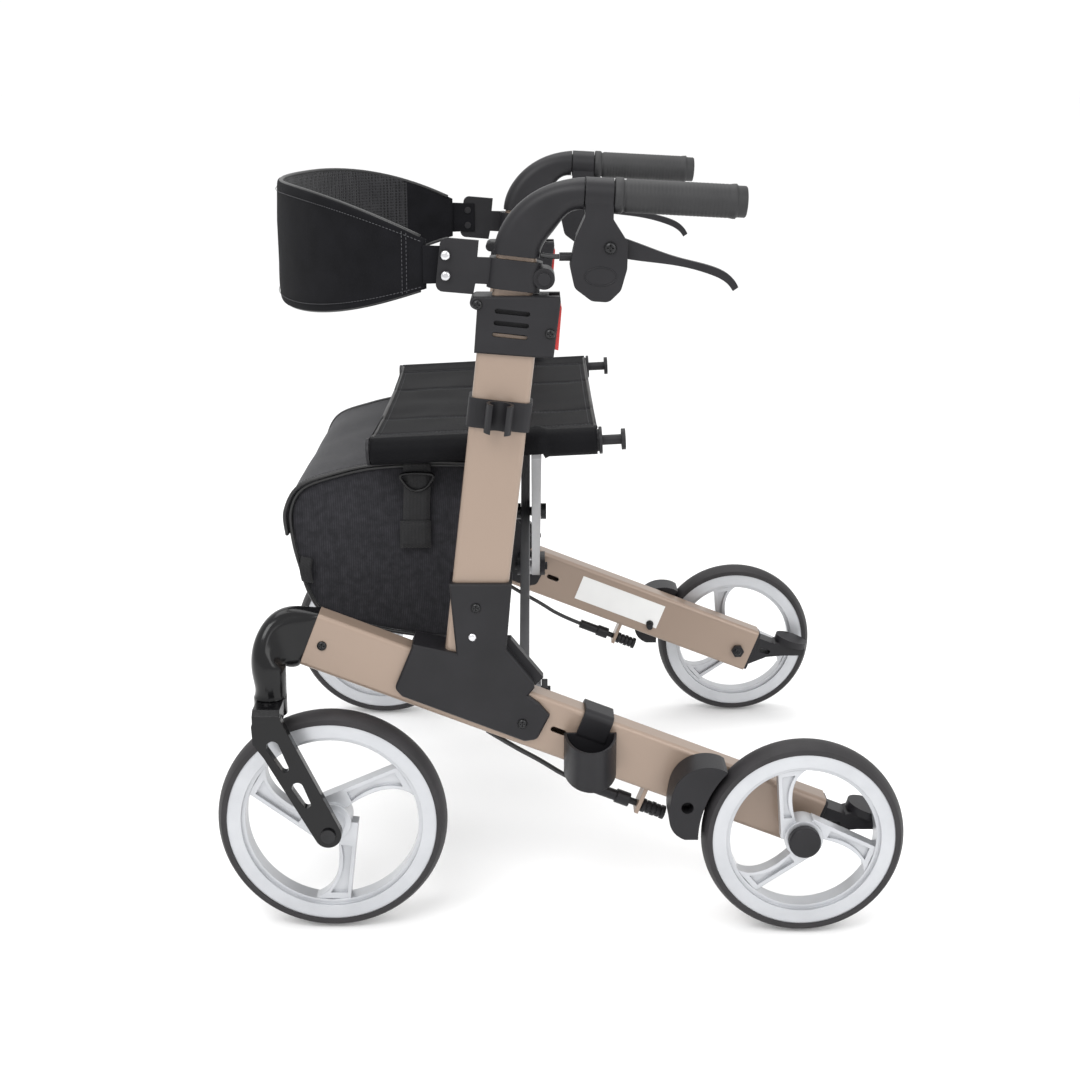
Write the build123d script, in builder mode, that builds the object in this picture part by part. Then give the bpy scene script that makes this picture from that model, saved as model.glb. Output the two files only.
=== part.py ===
from build123d import *
import os
from math import cos, radians, sin, tan

# Folding four-wheel walking frame with a seat.  Millimetres, +X forward, +Y to the user's left, +Z up.
# The origin is on the floor, midway between the rear of the rear wheels and the front of the front ones.
# Side pieces are modelled for the left side and mirrored in the plane y = 0.
# "Station" is the distance forward of the rear axle.

# ---- wheels ----
REAR_RADIUS = 100.0
FRONT_RADIUS = 113.5
WHEELBASE = 464.4
REAR_WHEEL_Y = 280.0
FRONT_WHEEL_Y = 270.0
TYRE_WIDTH = 28.0
TYRE_DEPTH = 10.0
TYRE_CROWN = 5.0
RIM_WIDTH = 25.0
RIM_FACE_DEPTH = 14.0
RIM_LIP_DEPTH = 4.0
RIM_LIP_WIDTH = 17.0
HUB_RADIUS = 19.0
HUB_NOSE_RADIUS = 13.0
SPOKES = 3
SPOKE_WIDTH = 14.0
SPOKE_WEB = 6.0
SPOKE_RIB = 4.0
HUB_RECESS = 1.0
REAR_SPOKE_TURN = 94.5
FRONT_SPOKE_TURN = 23.5
AXLE_RADIUS = 5.0
RUNNING_GAP = 0.05

REAR_AXLE_X = (REAR_RADIUS - FRONT_RADIUS - WHEELBASE) / 2

# ---- side frame ----
TUBE_Y = 242.0
TUBE_WIDTH = 28.0
TUBE_WALL = 2.0
TUBE_CORNER = 5.0
LOWER_TUBE_HEIGHT = 56.0
LOWER_TUBE_FRONT_STATION = 485.2
LOWER_TUBE_FRONT_Z = 294.0
LOWER_TUBE_SLOPE = 21.3
LOWER_TUBE_LENGTH = 540.0
UPRIGHT_DEPTH = 55.0
UPRIGHT_LEAN = 6.4
UPRIGHT_BASE_STATION = 325.6
UPRIGHT_BASE_Z = 276.0
UPRIGHT_LENGTH = 322.0
BRACKET_SKIN = 6.0

# ---- caster ----
STEM_STATION = 522.0
STEM_RADIUS = 16.0
STEM_BOTTOM_Z = 242.0
STEM_PIN_RADIUS = 8.0
STEM_PIN_LENGTH = 34.0
CASTER_GAP = 0.6
FORK_ARM_INNER_Y = 300.0
FORK_ARM_THICKNESS = 9.0
FORK_TIP_RADIUS = 12.8

# ---- telescoping handle ----
HANDLE_STEM_DEPTH = 38.0
HANDLE_STEM_WIDTH = 20.0
HANDLE_STEM_LENGTH = 240.0
HANDLE_STEM_CORNER = 6.0
SLIDE_GAP = 0.3
HOUSING_TOP_Z = 632.0
BEND_BASE_Z = 668.5
GRIP_Y = 250.0
BAR_RADIUS = 11.0
BAR_START_STATION = 219.5
BAR_START_Z = 726.0
BAR_SLOPE = 2.9
GRIP_START = 28.0
GRIP_END = 150.0
GRIP_COLLAR_RADIUS = 16.5
GRIP_RADIUS = 15.6
GRIP_CAP_RADIUS = 14.6

# ---- seat and cross brace ----
SEAT_TUBE_Y = 199.0
SEAT_TUBE_RADIUS = 11.0
SEAT_TUBE_SLOPE = 3.0
SEAT_TUBE_FRONT_STATION = 427.0
SEAT_TUBE_FRONT_Z = 469.5
SEAT_LENGTH = 226.0
ARM_THICKNESS = 10.0
ARM_WIDTH = 24.0
ARM_A_STATION = 275.0
ARM_GAP = 2.0
ARM_FOOT_Y = 208.0
ARM_FOOT_Z = 222.0
ARM_FOOT_RADIUS = 11.0
ARM_PIN_RADIUS = 5.0
ARM_EAR_THICKNESS = 6.0

# ---- soft goods ----
SOFT_GAP = 0.4
SLEEVE_WALL = 2.2
SEAT_SAG = 10.0
BACKREST_THICKNESS = 8.0
BACKREST_END_STATION = 366.0
BACKREST_FRONT_STATION = 538.0
BACKREST_MID_Z = 660.0
BACKREST_END_HEIGHT = 46.0
BACKREST_FRONT_HEIGHT = 132.0
BAG_HALF_WIDTH = 172.0

CABLE_RADIUS = 2.4

os.makedirs("parts", exist_ok=True)


def at(station, y, z):
    """Point at a station forward of the rear axle."""
    return Vector(REAR_AXLE_X + station, y, z)


def side_plane(y):
    """Sketch plane of a side view: local x is the station, local y the height, extruding towards the middle."""
    return Plane(origin=(REAR_AXLE_X, y, 0), x_dir=(1, 0, 0), z_dir=(0, -1, 0))


def on_lower_tube(along, above):
    """Station and height of a point given by its distance behind the lower tube's front end and above its axis."""
    slope = radians(LOWER_TUBE_SLOPE)
    return (
        LOWER_TUBE_FRONT_STATION - along * cos(slope) - above * sin(slope),
        LOWER_TUBE_FRONT_Z - along * sin(slope) + above * cos(slope),
    )


def lower_tube_plane(along, above=0.0):
    """Plane square to the lower tube, facing rearwards: local x is lateral, local y points down."""
    station, z = on_lower_tube(along, above)
    slope = radians(LOWER_TUBE_SLOPE)
    return Plane(origin=at(station, TUBE_Y, z), x_dir=(0, 1, 0), z_dir=(-cos(slope), 0, -sin(slope)))


def upright_station(z):
    """Station of the upright's axis at a height."""
    return UPRIGHT_BASE_STATION - (z - UPRIGHT_BASE_Z) * tan(radians(UPRIGHT_LEAN))


def upright_plane(z):
    """Plane square to the upright's leaning axis: local x points forward, local y to the left."""
    lean = radians(UPRIGHT_LEAN)
    return Plane(
        origin=at(upright_station(z), TUBE_Y, z),
        x_dir=(cos(lean), 0, sin(lean)),
        z_dir=(-sin(lean), 0, cos(lean)),
    )


def bar_plane(along):
    """Plane square to the handle bar, facing rearwards, at a distance behind the bend."""
    slope = radians(BAR_SLOPE)
    return Plane(
        origin=at(BAR_START_STATION - along * cos(slope), GRIP_Y, BAR_START_Z - along * sin(slope)),
        x_dir=(0, 1, 0),
        z_dir=(-cos(slope), 0, -sin(slope)),
    )


def seat_tube_plane(along, y):
    """Plane square to a seat tube, facing rearwards: local x is lateral, local y points down."""
    slope = radians(SEAT_TUBE_SLOPE)
    return Plane(
        origin=at(
            SEAT_TUBE_FRONT_STATION - along * cos(slope),
            y,
            SEAT_TUBE_FRONT_Z + along * sin(slope),
        ),
        x_dir=(0, 1, 0),
        z_dir=(-cos(slope), 0, sin(slope)),
    )


def keep(piece, name):
    piece.label = name
    export_step(piece, f"parts/{name}.step")


def keep_pair(piece, name):
    keep(piece, f"left_{name}")
    with BuildPart() as opposite:
        mirror(piece, about=Plane.XZ)
    keep(opposite.part, f"right_{name}")


# =====================================================================================
# Side frame
# =====================================================================================

# Lower tube: flat-sided oval tube with a cable tab welded under it.
TAB_ALONG = 366.0
TAB_DROP = 54.0
TAB_WIDTH = 18.0
TAB_THICKNESS = 4.0
CABLE_LINE_DROP = 49.0
SLOT_ALONG = 262.0
BRAKE_PIVOT_ALONG = 403.0
BRAKE_PIVOT_ABOVE = -15.0

with BuildPart() as lower_tube:
    with BuildSketch(lower_tube_plane(0)):
        RectangleRounded(TUBE_WIDTH, LOWER_TUBE_HEIGHT, TUBE_CORNER)
        RectangleRounded(
            TUBE_WIDTH - 2 * TUBE_WALL,
            LOWER_TUBE_HEIGHT - 2 * TUBE_WALL,
            TUBE_CORNER - TUBE_WALL,
            mode=Mode.SUBTRACT,
        )
    extrude(amount=LOWER_TUBE_LENGTH)
    with BuildSketch(lower_tube_plane(TAB_ALONG)):
        with Locations((0, (LOWER_TUBE_HEIGHT / 2 + TAB_DROP) / 2)):
            Rectangle(TAB_WIDTH, TAB_DROP - LOWER_TUBE_HEIGHT / 2 + 2 * TUBE_WALL)
        with Locations((0, CABLE_LINE_DROP)):
            Circle(CABLE_RADIUS + 1, mode=Mode.SUBTRACT)
    extrude(amount=TAB_THICKNESS)
    with BuildSketch(side_plane(TUBE_Y + TUBE_WIDTH)):
        with Locations((0, REAR_RADIUS)):
            Circle(AXLE_RADIUS)
        with Locations(on_lower_tube(SLOT_ALONG, 0)):
            SlotOverall(16, 6, rotation=LOWER_TUBE_SLOPE)
        with Locations(on_lower_tube(BRAKE_PIVOT_ALONG, BRAKE_PIVOT_ABOVE)):
            Circle(AXLE_RADIUS - 1)
    extrude(amount=2 * TUBE_WIDTH, mode=Mode.SUBTRACT)
keep_pair(lower_tube.part, "lower_tube")

# Upright: flat-sided tube leaning back, standing on the lower tube inside the bracket.
with BuildPart() as upright:
    with BuildSketch(upright_plane(UPRIGHT_BASE_Z)):
        RectangleRounded(UPRIGHT_DEPTH, TUBE_WIDTH, TUBE_CORNER)
        RectangleRounded(
            UPRIGHT_DEPTH - 2 * TUBE_WALL,
            TUBE_WIDTH - 2 * TUBE_WALL,
            TUBE_CORNER - TUBE_WALL,
            mode=Mode.SUBTRACT,
        )
    extrude(amount=UPRIGHT_LENGTH)
keep_pair(upright.part, "upright")

# Elbow: cast bend from the tube's flat-sided section to the round caster head, stepping outwards.
ELBOW_SECTIONS = [
    # outer (station, z), inner (station, z), y, width
    ((499.0, 325.5), (500.0, 264.5), 248.0, 29.0),
    ((523.0, 318.5), (506.5, 269.5), 258.0, 31.0),
    ((536.5, 296.0), (507.0, 274.0), 267.0, 32.0),
]
SPIGOT_LENGTH = 26.0
with BuildPart() as elbow:
    with BuildSketch(lower_tube_plane(0)):
        RectangleRounded(TUBE_WIDTH, LOWER_TUBE_HEIGHT, TUBE_CORNER)
    for outer, inner, section_y, section_width in ELBOW_SECTIONS:
        outer_point = at(outer[0], section_y, outer[1])
        inner_point = at(inner[0], section_y, inner[1])
        down = (inner_point - outer_point).normalized()
        height = (inner_point - outer_point).length
        with BuildSketch(
            Plane(
                origin=(outer_point + inner_point) * 0.5,
                x_dir=(0, 1, 0),
                z_dir=Vector(0, 1, 0).cross(down),
            )
        ):
            RectangleRounded(section_width, height, section_width / 2 - 1)
    for head_z in (262.0, STEM_BOTTOM_Z):
        with BuildSketch(Plane(origin=at(STEM_STATION, FRONT_WHEEL_Y, head_z), x_dir=(0, 1, 0), z_dir=(0, 0, 1))):
            RectangleRounded(2 * STEM_RADIUS, 2 * STEM_RADIUS, STEM_RADIUS - 0.5)
    loft()
    with BuildSketch(lower_tube_plane(0)):
        RectangleRounded(
            TUBE_WIDTH - 2 * TUBE_WALL - 2 * SLIDE_GAP,
            LOWER_TUBE_HEIGHT - 2 * TUBE_WALL - 2 * SLIDE_GAP,
            TUBE_CORNER - TUBE_WALL,
        )
    extrude(amount=SPIGOT_LENGTH)
    with BuildSketch(Plane(origin=at(STEM_STATION, FRONT_WHEEL_Y, STEM_BOTTOM_Z))):
        Circle(STEM_PIN_RADIUS + RUNNING_GAP)
    extrude(amount=STEM_PIN_LENGTH + 1, mode=Mode.SUBTRACT)
keep_pair(elbow.part, "elbow")

# Bracket: moulded shell that joins the upright to the lower tube, with two ears for the cross brace inside.
BRACKET_OUTLINE = [
    (347.5, 353.0),
    (341.0, 282.0),
    (383.0, 291.5),
    (401.7, 245.8),
    (394.8, 237.5),
    (274.2, 190.0),
    (262.1, 192.2),
    (249.6, 217.2),
    (260.1, 229.6),
    (271.2, 237.9),
    (264.7, 246.2),
    (266.1, 252.4),
    (292.2, 285.4),
    (286.5, 353.0),
]
GUSSET_OUTLINE = [(296.0, 292.0), (288.0, 292.0), (256.0, 252.0), (264.0, 244.0), (290.0, 250.0)]
BRACKET_DEPTH = TUBE_WIDTH + 2 * BRACKET_SKIN
ARM_B_STATION = ARM_A_STATION - ARM_THICKNESS - ARM_GAP
ARM_STACK = 2 * ARM_THICKNESS + ARM_GAP
ARM_STACK_STATION = (ARM_A_STATION + ARM_B_STATION) / 2
EAR_OFFSET = ARM_STACK / 2 + 0.5 + ARM_EAR_THICKNESS / 2
with BuildPart() as bracket:
    with BuildSketch(side_plane(TUBE_Y + BRACKET_DEPTH / 2)):
        with BuildLine():
            Polyline(*BRACKET_OUTLINE, close=True)
        make_face()
        fillet(vertices().sort_by(Axis.X)[-2:], radius=6)
        fillet(vertices().sort_by(Axis.Y)[:2], radius=7)
    extrude(amount=BRACKET_DEPTH)
    with BuildSketch(side_plane(TUBE_Y + 6)):
        with BuildLine():
            Polyline(*GUSSET_OUTLINE, close=True)
        make_face()
    extrude(amount=12)
    chamfer(faces().filter_by(Axis.Y).sort_by(Axis.Y)[-1].outer_wire().edges(), length=1.5)
    for ear_offset in (-EAR_OFFSET, EAR_OFFSET):
        with BuildSketch(
            Plane(
                origin=at(ARM_STACK_STATION + ear_offset - ARM_EAR_THICKNESS / 2, 0, 0),
                x_dir=(0, 1, 0),
                z_dir=(1, 0, 0),
            )
        ):
            with Locations((ARM_FOOT_Y, ARM_FOOT_Z)):
                Circle(ARM_FOOT_RADIUS + 1)
            with Locations((TUBE_Y - TUBE_WIDTH / 2 - BRACKET_SKIN / 2 - 4, ARM_FOOT_Z)):
                Rectangle(2 * BRACKET_SKIN + 8, 2 * ARM_FOOT_RADIUS + 2)
        extrude(amount=ARM_EAR_THICKNESS)
    with BuildSketch(
        Plane(
            origin=at(ARM_STACK_STATION - EAR_OFFSET - ARM_EAR_THICKNESS, ARM_FOOT_Y, ARM_FOOT_Z),
            x_dir=(0, 1, 0),
            z_dir=(1, 0, 0),
        )
    ):
        Circle(ARM_PIN_RADIUS)
    extrude(amount=2 * EAR_OFFSET + 2 * ARM_EAR_THICKNESS)
    with BuildSketch(lower_tube_plane(-20)):
        RectangleRounded(TUBE_WIDTH, LOWER_TUBE_HEIGHT, TUBE_CORNER)
    extrude(amount=LOWER_TUBE_LENGTH, mode=Mode.SUBTRACT)
    with BuildSketch(upright_plane(UPRIGHT_BASE_Z)):
        RectangleRounded(UPRIGHT_DEPTH, TUBE_WIDTH, TUBE_CORNER)
    extrude(amount=UPRIGHT_LENGTH, mode=Mode.SUBTRACT)
keep_pair(bracket.part, "bracket")

# Latch housing: cap on the upright's top that guides the handle stem and carries the height lever.
HOUSING_OUTLINE = [(321.5, 579.0), (263.0, 574.6), (247.0, 574.6), (240.5, 627.0), (241.0, HOUSING_TOP_Z),
                   (317.5, HOUSING_TOP_Z)]
HOUSING_DEPTH = TUBE_WIDTH + 10
LEVER_HINGE = (243.5, 620.0)
LEVER_WIDTH = 20.0
UPRIGHT_TOP_Z = UPRIGHT_BASE_Z + UPRIGHT_LENGTH * cos(radians(UPRIGHT_LEAN))
with BuildPart() as latch_housing:
    with BuildSketch(side_plane(TUBE_Y + HOUSING_DEPTH / 2)):
        with BuildLine():
            Polyline(*HOUSING_OUTLINE, close=True)
        make_face()
        with Locations((319.0, 626.0)):
            Circle(6)
    extrude(amount=HOUSING_DEPTH)
    chamfer(faces().filter_by(Axis.Y).edges(), length=1.5)
    with BuildSketch(upright_plane(UPRIGHT_BASE_Z)):
        RectangleRounded(UPRIGHT_DEPTH, TUBE_WIDTH, TUBE_CORNER)
    extrude(amount=UPRIGHT_LENGTH, mode=Mode.SUBTRACT)
    with BuildSketch(upright_plane(UPRIGHT_BASE_Z)):
        RectangleRounded(
            HANDLE_STEM_DEPTH + 2 * SLIDE_GAP,
            HANDLE_STEM_WIDTH + 2 * SLIDE_GAP,
            HANDLE_STEM_CORNER,
        )
    extrude(amount=2 * UPRIGHT_LENGTH, mode=Mode.SUBTRACT)
    with BuildSketch(side_plane(TUBE_Y + HOUSING_DEPTH)):
        for slot_z in (595.0, 606.0, 617.0):
            with Locations((upright_station(slot_z) - 2, slot_z)):
                SlotOverall(33, 4.5, rotation=6)
    extrude(amount=HOUSING_DEPTH / 2 + 6, mode=Mode.SUBTRACT)
    with BuildSketch(side_plane(TUBE_Y + LEVER_WIDTH / 2 + 0.5)):
        with BuildLine():
            Polyline((230, 640), (251.5, 640), (251.5, 570), (230, 570), close=True)
        make_face()
    extrude(amount=LEVER_WIDTH + 1, mode=Mode.SUBTRACT)
    with BuildSketch(side_plane(TUBE_Y + HOUSING_DEPTH / 2 - 1)):
        with Locations(LEVER_HINGE):
            Circle(1.5)
    extrude(amount=HOUSING_DEPTH - 2)
keep_pair(latch_housing.part, "latch_housing")

# Height lever: flip lever on the back of the latch housing.
with BuildPart() as height_lever:
    with BuildSketch(side_plane(TUBE_Y + LEVER_WIDTH / 2)):
        with Locations(LEVER_HINGE):
            Circle(4)
        with BuildLine():
            Polyline(
                (LEVER_HINGE[0] + 4, LEVER_HINGE[1]),
                (LEVER_HINGE[0] + 6, 582),
                (LEVER_HINGE[0] - 1, 580),
                (LEVER_HINGE[0] - 4, LEVER_HINGE[1]),
                close=True,
            )
        make_face()
        with Locations(LEVER_HINGE):
            Circle(1.5 + RUNNING_GAP, mode=Mode.SUBTRACT)
    extrude(amount=LEVER_WIDTH)
keep_pair(height_lever.part, "height_lever")

# Kerb pedal: plug in the tube's rear end with a neck and a tilted oval pad.
PEDAL_PLUG = 11.0
with BuildPart() as pedal:
    with BuildSketch(lower_tube_plane(LOWER_TUBE_LENGTH - PEDAL_PLUG)):
        RectangleRounded(
            TUBE_WIDTH - 2 * TUBE_WALL - SLIDE_GAP,
            LOWER_TUBE_HEIGHT - 2 * TUBE_WALL - SLIDE_GAP,
            TUBE_CORNER - TUBE_WALL,
        )
    extrude(amount=PEDAL_PLUG)
    with BuildSketch(lower_tube_plane(LOWER_TUBE_LENGTH)):
        RectangleRounded(TUBE_WIDTH, LOWER_TUBE_HEIGHT - 4, TUBE_CORNER)
    extrude(amount=3)
    with BuildSketch(side_plane(TUBE_Y + 12)):
        with BuildLine():
            Polyline((-20, 119), (-48, 108), (-64, 113), (-88, 106), (-86, 92), (-60, 92), (-38, 90), (-14, 80),
                     close=True)
        make_face()
        fillet(vertices().group_by(Axis.X)[0], radius=4)
    extrude(amount=24)
    with BuildSketch(side_plane(TUBE_Y + 40)):
        with Locations((-36, 98)):
            SlotOverall(14, 6, rotation=15)
    extrude(amount=80, mode=Mode.SUBTRACT)
    with BuildSketch(Plane(origin=at(-70, TUBE_Y, 105), x_dir=(0, 1, 0), z_dir=(-0.28, 0, 0.96))):
        Ellipse(20, 21)
    extrude(amount=8)
    split(bisect_by=Plane(origin=at(-96, 0, 0), z_dir=(1, 0, 0)), keep=Keep.TOP)
keep_pair(pedal.part, "pedal")

# =====================================================================================
# Cross brace and seat tubes
# =====================================================================================

seat_slope = radians(SEAT_TUBE_SLOPE)
ARM_HEAD_Z = SEAT_TUBE_FRONT_Z + (SEAT_TUBE_FRONT_STATION - ARM_STACK_STATION) * tan(seat_slope)
ARM_RUN = ARM_FOOT_Y + SEAT_TUBE_Y
ARM_RISE = ARM_HEAD_Z - ARM_FOOT_Z
CROSS_Z = ARM_FOOT_Z + ARM_RISE * ARM_FOOT_Y / ARM_RUN
CROSS_BOLT_RADIUS = 5.0


def cross_arm(station, foot_side):
    """Flat bar from the pivot foot on one side to the seat tube on the other."""
    front_view = Plane(origin=at(station - ARM_THICKNESS / 2, 0, 0), x_dir=(0, 1, 0), z_dir=(1, 0, 0))
    foot_view = Plane(origin=at(ARM_STACK_STATION - ARM_STACK / 2, 0, 0), x_dir=(0, 1, 0), z_dir=(1, 0, 0))
    foot = (foot_side * ARM_FOOT_Y, ARM_FOOT_Z)
    head = (-foot_side * SEAT_TUBE_Y, ARM_HEAD_Z)
    with BuildPart() as arm:
        with BuildSketch(front_view):
            with Locations(foot, head):
                Circle(ARM_WIDTH / 2)
            make_hull()
            with Locations(head):
                Circle(SEAT_TUBE_RADIUS + 5)
        extrude(amount=ARM_THICKNESS)
        with BuildSketch(foot_view):
            with Locations(foot):
                Circle(ARM_FOOT_RADIUS)
        extrude(amount=ARM_STACK)
        with BuildSketch(foot_view):
            with Locations(foot):
                Circle(ARM_PIN_RADIUS + RUNNING_GAP)
            with Locations((0, CROSS_Z)):
                Circle(CROSS_BOLT_RADIUS + RUNNING_GAP)
        extrude(amount=ARM_STACK, mode=Mode.SUBTRACT)
        with BuildSketch(seat_tube_plane(0, -foot_side * SEAT_TUBE_Y)):
            Circle(SEAT_TUBE_RADIUS)
        extrude(amount=SEAT_LENGTH, mode=Mode.SUBTRACT)
    return arm.part


keep(cross_arm(ARM_A_STATION, 1), "cross_arm_front")
keep(cross_arm(ARM_B_STATION, -1), "cross_arm_rear")

with BuildPart() as cross_bolt:
    with BuildSketch(
        Plane(origin=at(ARM_STACK_STATION - ARM_STACK / 2 - 6, 0, CROSS_Z), x_dir=(0, 1, 0), z_dir=(1, 0, 0))
    ):
        Circle(CROSS_BOLT_RADIUS)
    extrude(amount=ARM_STACK + 12)
    for washer_station in (ARM_STACK_STATION - ARM_STACK / 2 - 6.3, ARM_STACK_STATION + ARM_STACK / 2 + 0.3):
        with BuildSketch(Plane(origin=at(washer_station, 0, CROSS_Z), x_dir=(0, 1, 0), z_dir=(1, 0, 0))):
            Circle(9)
        extrude(amount=6)
keep(cross_bolt.part, "cross_bolt")

# Seat tube: round tube with a flange and a spool knob behind the seat.
FLANGE_RADIUS = 13.5
KNOB_NECK_RADIUS = 5.0
KNOB_RADIUS = 10.5
KNOB_REACH = 26.0
with BuildPart() as seat_tube:
    with BuildSketch(seat_tube_plane(0, SEAT_TUBE_Y)):
        Circle(SEAT_TUBE_RADIUS)
        Circle(SEAT_TUBE_RADIUS - TUBE_WALL, mode=Mode.SUBTRACT)
    extrude(amount=SEAT_LENGTH)
    with BuildSketch(seat_tube_plane(-3, SEAT_TUBE_Y)):
        Circle(FLANGE_RADIUS)
    extrude(amount=3)
    with BuildSketch(seat_tube_plane(SEAT_LENGTH, SEAT_TUBE_Y)):
        Circle(FLANGE_RADIUS)
    extrude(amount=3)
    with BuildSketch(seat_tube_plane(SEAT_LENGTH + 3, SEAT_TUBE_Y)):
        Circle(KNOB_NECK_RADIUS)
    extrude(amount=KNOB_REACH - 3)
    with BuildSketch(seat_tube_plane(SEAT_LENGTH + KNOB_REACH - 4, SEAT_TUBE_Y)):
        Circle(KNOB_RADIUS)
    extrude(amount=4)
keep_pair(seat_tube.part, "seat_tube")

# =====================================================================================
# Handle
# =====================================================================================

with BuildPart() as handle_stem:
    with BuildSketch(upright_plane(BEND_BASE_Z)):
        RectangleRounded(HANDLE_STEM_DEPTH, HANDLE_STEM_WIDTH, HANDLE_STEM_CORNER)
        RectangleRounded(
            HANDLE_STEM_DEPTH - 2 * TUBE_WALL,
            HANDLE_STEM_WIDTH - 2 * TUBE_WALL,
            HANDLE_STEM_CORNER - TUBE_WALL,
            mode=Mode.SUBTRACT,
        )
    extrude(amount=-HANDLE_STEM_LENGTH)
keep_pair(handle_stem.part, "handle_stem")

# Handle bend: cast quarter bend from the stem to the horizontal bar, with the bar in one piece.
BEND_SECTIONS = [
    # outer (station, z), inner (station, z), y
    ((299.0, 689.0), (257.0, 678.0), 243.0),
    ((278.0, 718.0), (247.0, 692.0), 245.0),
    ((246.0, 736.0), (236.0, 706.0), 248.0),
]
BEND_WIDTH = 29.0
with BuildPart() as handle_bend:
    with BuildSketch(upright_plane(BEND_BASE_Z)):
        RectangleRounded(43, BEND_WIDTH, 10)
    for outer, inner, section_y in BEND_SECTIONS:
        outer_point = at(outer[0], section_y, outer[1])
        inner_point = at(inner[0], section_y, inner[1])
        forward = (outer_point - inner_point).normalized()
        with BuildSketch(
            Plane(
                origin=(outer_point + inner_point) * 0.5,
                x_dir=forward,
                z_dir=forward.cross(Vector(0, 1, 0)),
            )
        ):
            RectangleRounded((outer_point - inner_point).length, BEND_WIDTH, 12)
    slope = radians(BAR_SLOPE)
    with BuildSketch(
        Plane(
            origin=at(BAR_START_STATION, GRIP_Y, BAR_START_Z),
            x_dir=(-sin(slope), 0, cos(slope)),
            z_dir=(-cos(slope), 0, -sin(slope)),
        )
    ):
        RectangleRounded(30, BEND_WIDTH, 14)
    loft()
    with BuildSketch(bar_plane(0)):
        Circle(BAR_RADIUS)
    extrude(amount=GRIP_END - 4)
keep_pair(handle_bend.part, "handle_bend")

# Grip: rubber sleeve on the bar.
with BuildPart() as grip:
    with BuildSketch(bar_plane(GRIP_START)):
        Circle(GRIP_COLLAR_RADIUS)
    extrude(amount=30)
    with BuildSketch(bar_plane(GRIP_START + 32)):
        Circle(GRIP_RADIUS)
    extrude(amount=GRIP_END - GRIP_START - 40)
    with BuildSketch(bar_plane(GRIP_START)):
        Circle(GRIP_CAP_RADIUS)
    extrude(amount=GRIP_END - GRIP_START)
    with BuildSketch(bar_plane(0)):
        Circle(BAR_RADIUS)
    extrude(amount=GRIP_END - 4, mode=Mode.SUBTRACT)
keep_pair(grip.part, "grip")

# Brake housing: clamps round the bar and holds the lever's pivot.
HOUSING_BODY_OUTLINE = [
    (218.0, 728.0),
    (218.5, 706.0),
    (226.5, 688.0),
    (232.5, 660.0),
    (228.0, 640.0),
    (212.0, 628.0),
    (196.0, 627.0),
    (185.0, 638.0),
    (179.5, 658.0),
    (179.0, 682.0),
    (192.5, 703.0),
    (192.5, 728.0),
]
BRAKE_BODY_WIDTH = 26.0
HOUSING_BODY_ROUNDING = 9.0
LEVER_PIVOT = (195.3, 677.5)
LEVER_BLADE = 8.0
LEVER_ROOT_RADIUS = 10.0
LEVER_PIN_RADIUS = 3.0
CABLE_NOSE_RADIUS = 4.0
with BuildPart() as brake_housing:
    with BuildSketch(side_plane(GRIP_Y + BRAKE_BODY_WIDTH / 2)):
        with BuildLine():
            Polyline(*HOUSING_BODY_OUTLINE, close=True)
        make_face()
        fillet(vertices().sort_by(Axis.Y)[:6], radius=HOUSING_BODY_ROUNDING)
    extrude(amount=BRAKE_BODY_WIDTH)
    with BuildSketch(bar_plane(1)):
        Circle(BRAKE_BODY_WIDTH / 2 + 2.5)
    extrude(amount=GRIP_START - 2)
    with BuildSketch(Plane(origin=at(224, GRIP_Y, 668), x_dir=(0, 1, 0), z_dir=(1, 0, 0))):
        Circle(CABLE_NOSE_RADIUS)
    extrude(amount=18)
    with BuildSketch(bar_plane(0)):
        Circle(BAR_RADIUS)
    extrude(amount=GRIP_END, mode=Mode.SUBTRACT)
    with BuildSketch(side_plane(GRIP_Y + LEVER_BLADE / 2 + 0.5)):
        with Locations(LEVER_PIVOT):
            Circle(LEVER_ROOT_RADIUS + 1)
        with BuildLine():
            Polyline(
                (LEVER_PIVOT[0], LEVER_PIVOT[1] + 11),
                (150, 708),
                (150, 646),
                (LEVER_PIVOT[0], LEVER_PIVOT[1] - 11),
                close=True,
            )
        make_face()
    extrude(amount=LEVER_BLADE + 1, mode=Mode.SUBTRACT)
    with BuildSketch(side_plane(GRIP_Y + BRAKE_BODY_WIDTH / 2 + 1)):
        with Locations(LEVER_PIVOT):
            Circle(LEVER_PIN_RADIUS)
    extrude(amount=BRAKE_BODY_WIDTH + 2)
keep_pair(brake_housing.part, "brake_housing")

# Brake lever: flat blade curving down to a turned-out tip.
LEVER_LOWER_EDGE = [(188.5, 668.0), (168.0, 664.5), (132.8, 660.0), (102.3, 652.0), (88.0, 645.0), (80.5, 636.5)]
LEVER_UPPER_EDGE = [(75.5, 640.0), (85.0, 652.0), (101.0, 659.5), (132.0, 667.5), (163.5, 678.5), (188.5, 687.5)]
with BuildPart() as brake_lever:
    with BuildSketch(side_plane(GRIP_Y + LEVER_BLADE / 2)):
        with BuildLine():
            lower_edge = Spline(*LEVER_LOWER_EDGE)
            upper_edge = Spline(*LEVER_UPPER_EDGE)
            Line(lower_edge @ 1, upper_edge @ 0)
            Line(upper_edge @ 1, lower_edge @ 0)
        make_face()
        with Locations(LEVER_PIVOT):
            Circle(LEVER_ROOT_RADIUS)
            Circle(LEVER_PIN_RADIUS + RUNNING_GAP, mode=Mode.SUBTRACT)
    extrude(amount=LEVER_BLADE)
keep_pair(brake_lever.part, "brake_lever")

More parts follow.
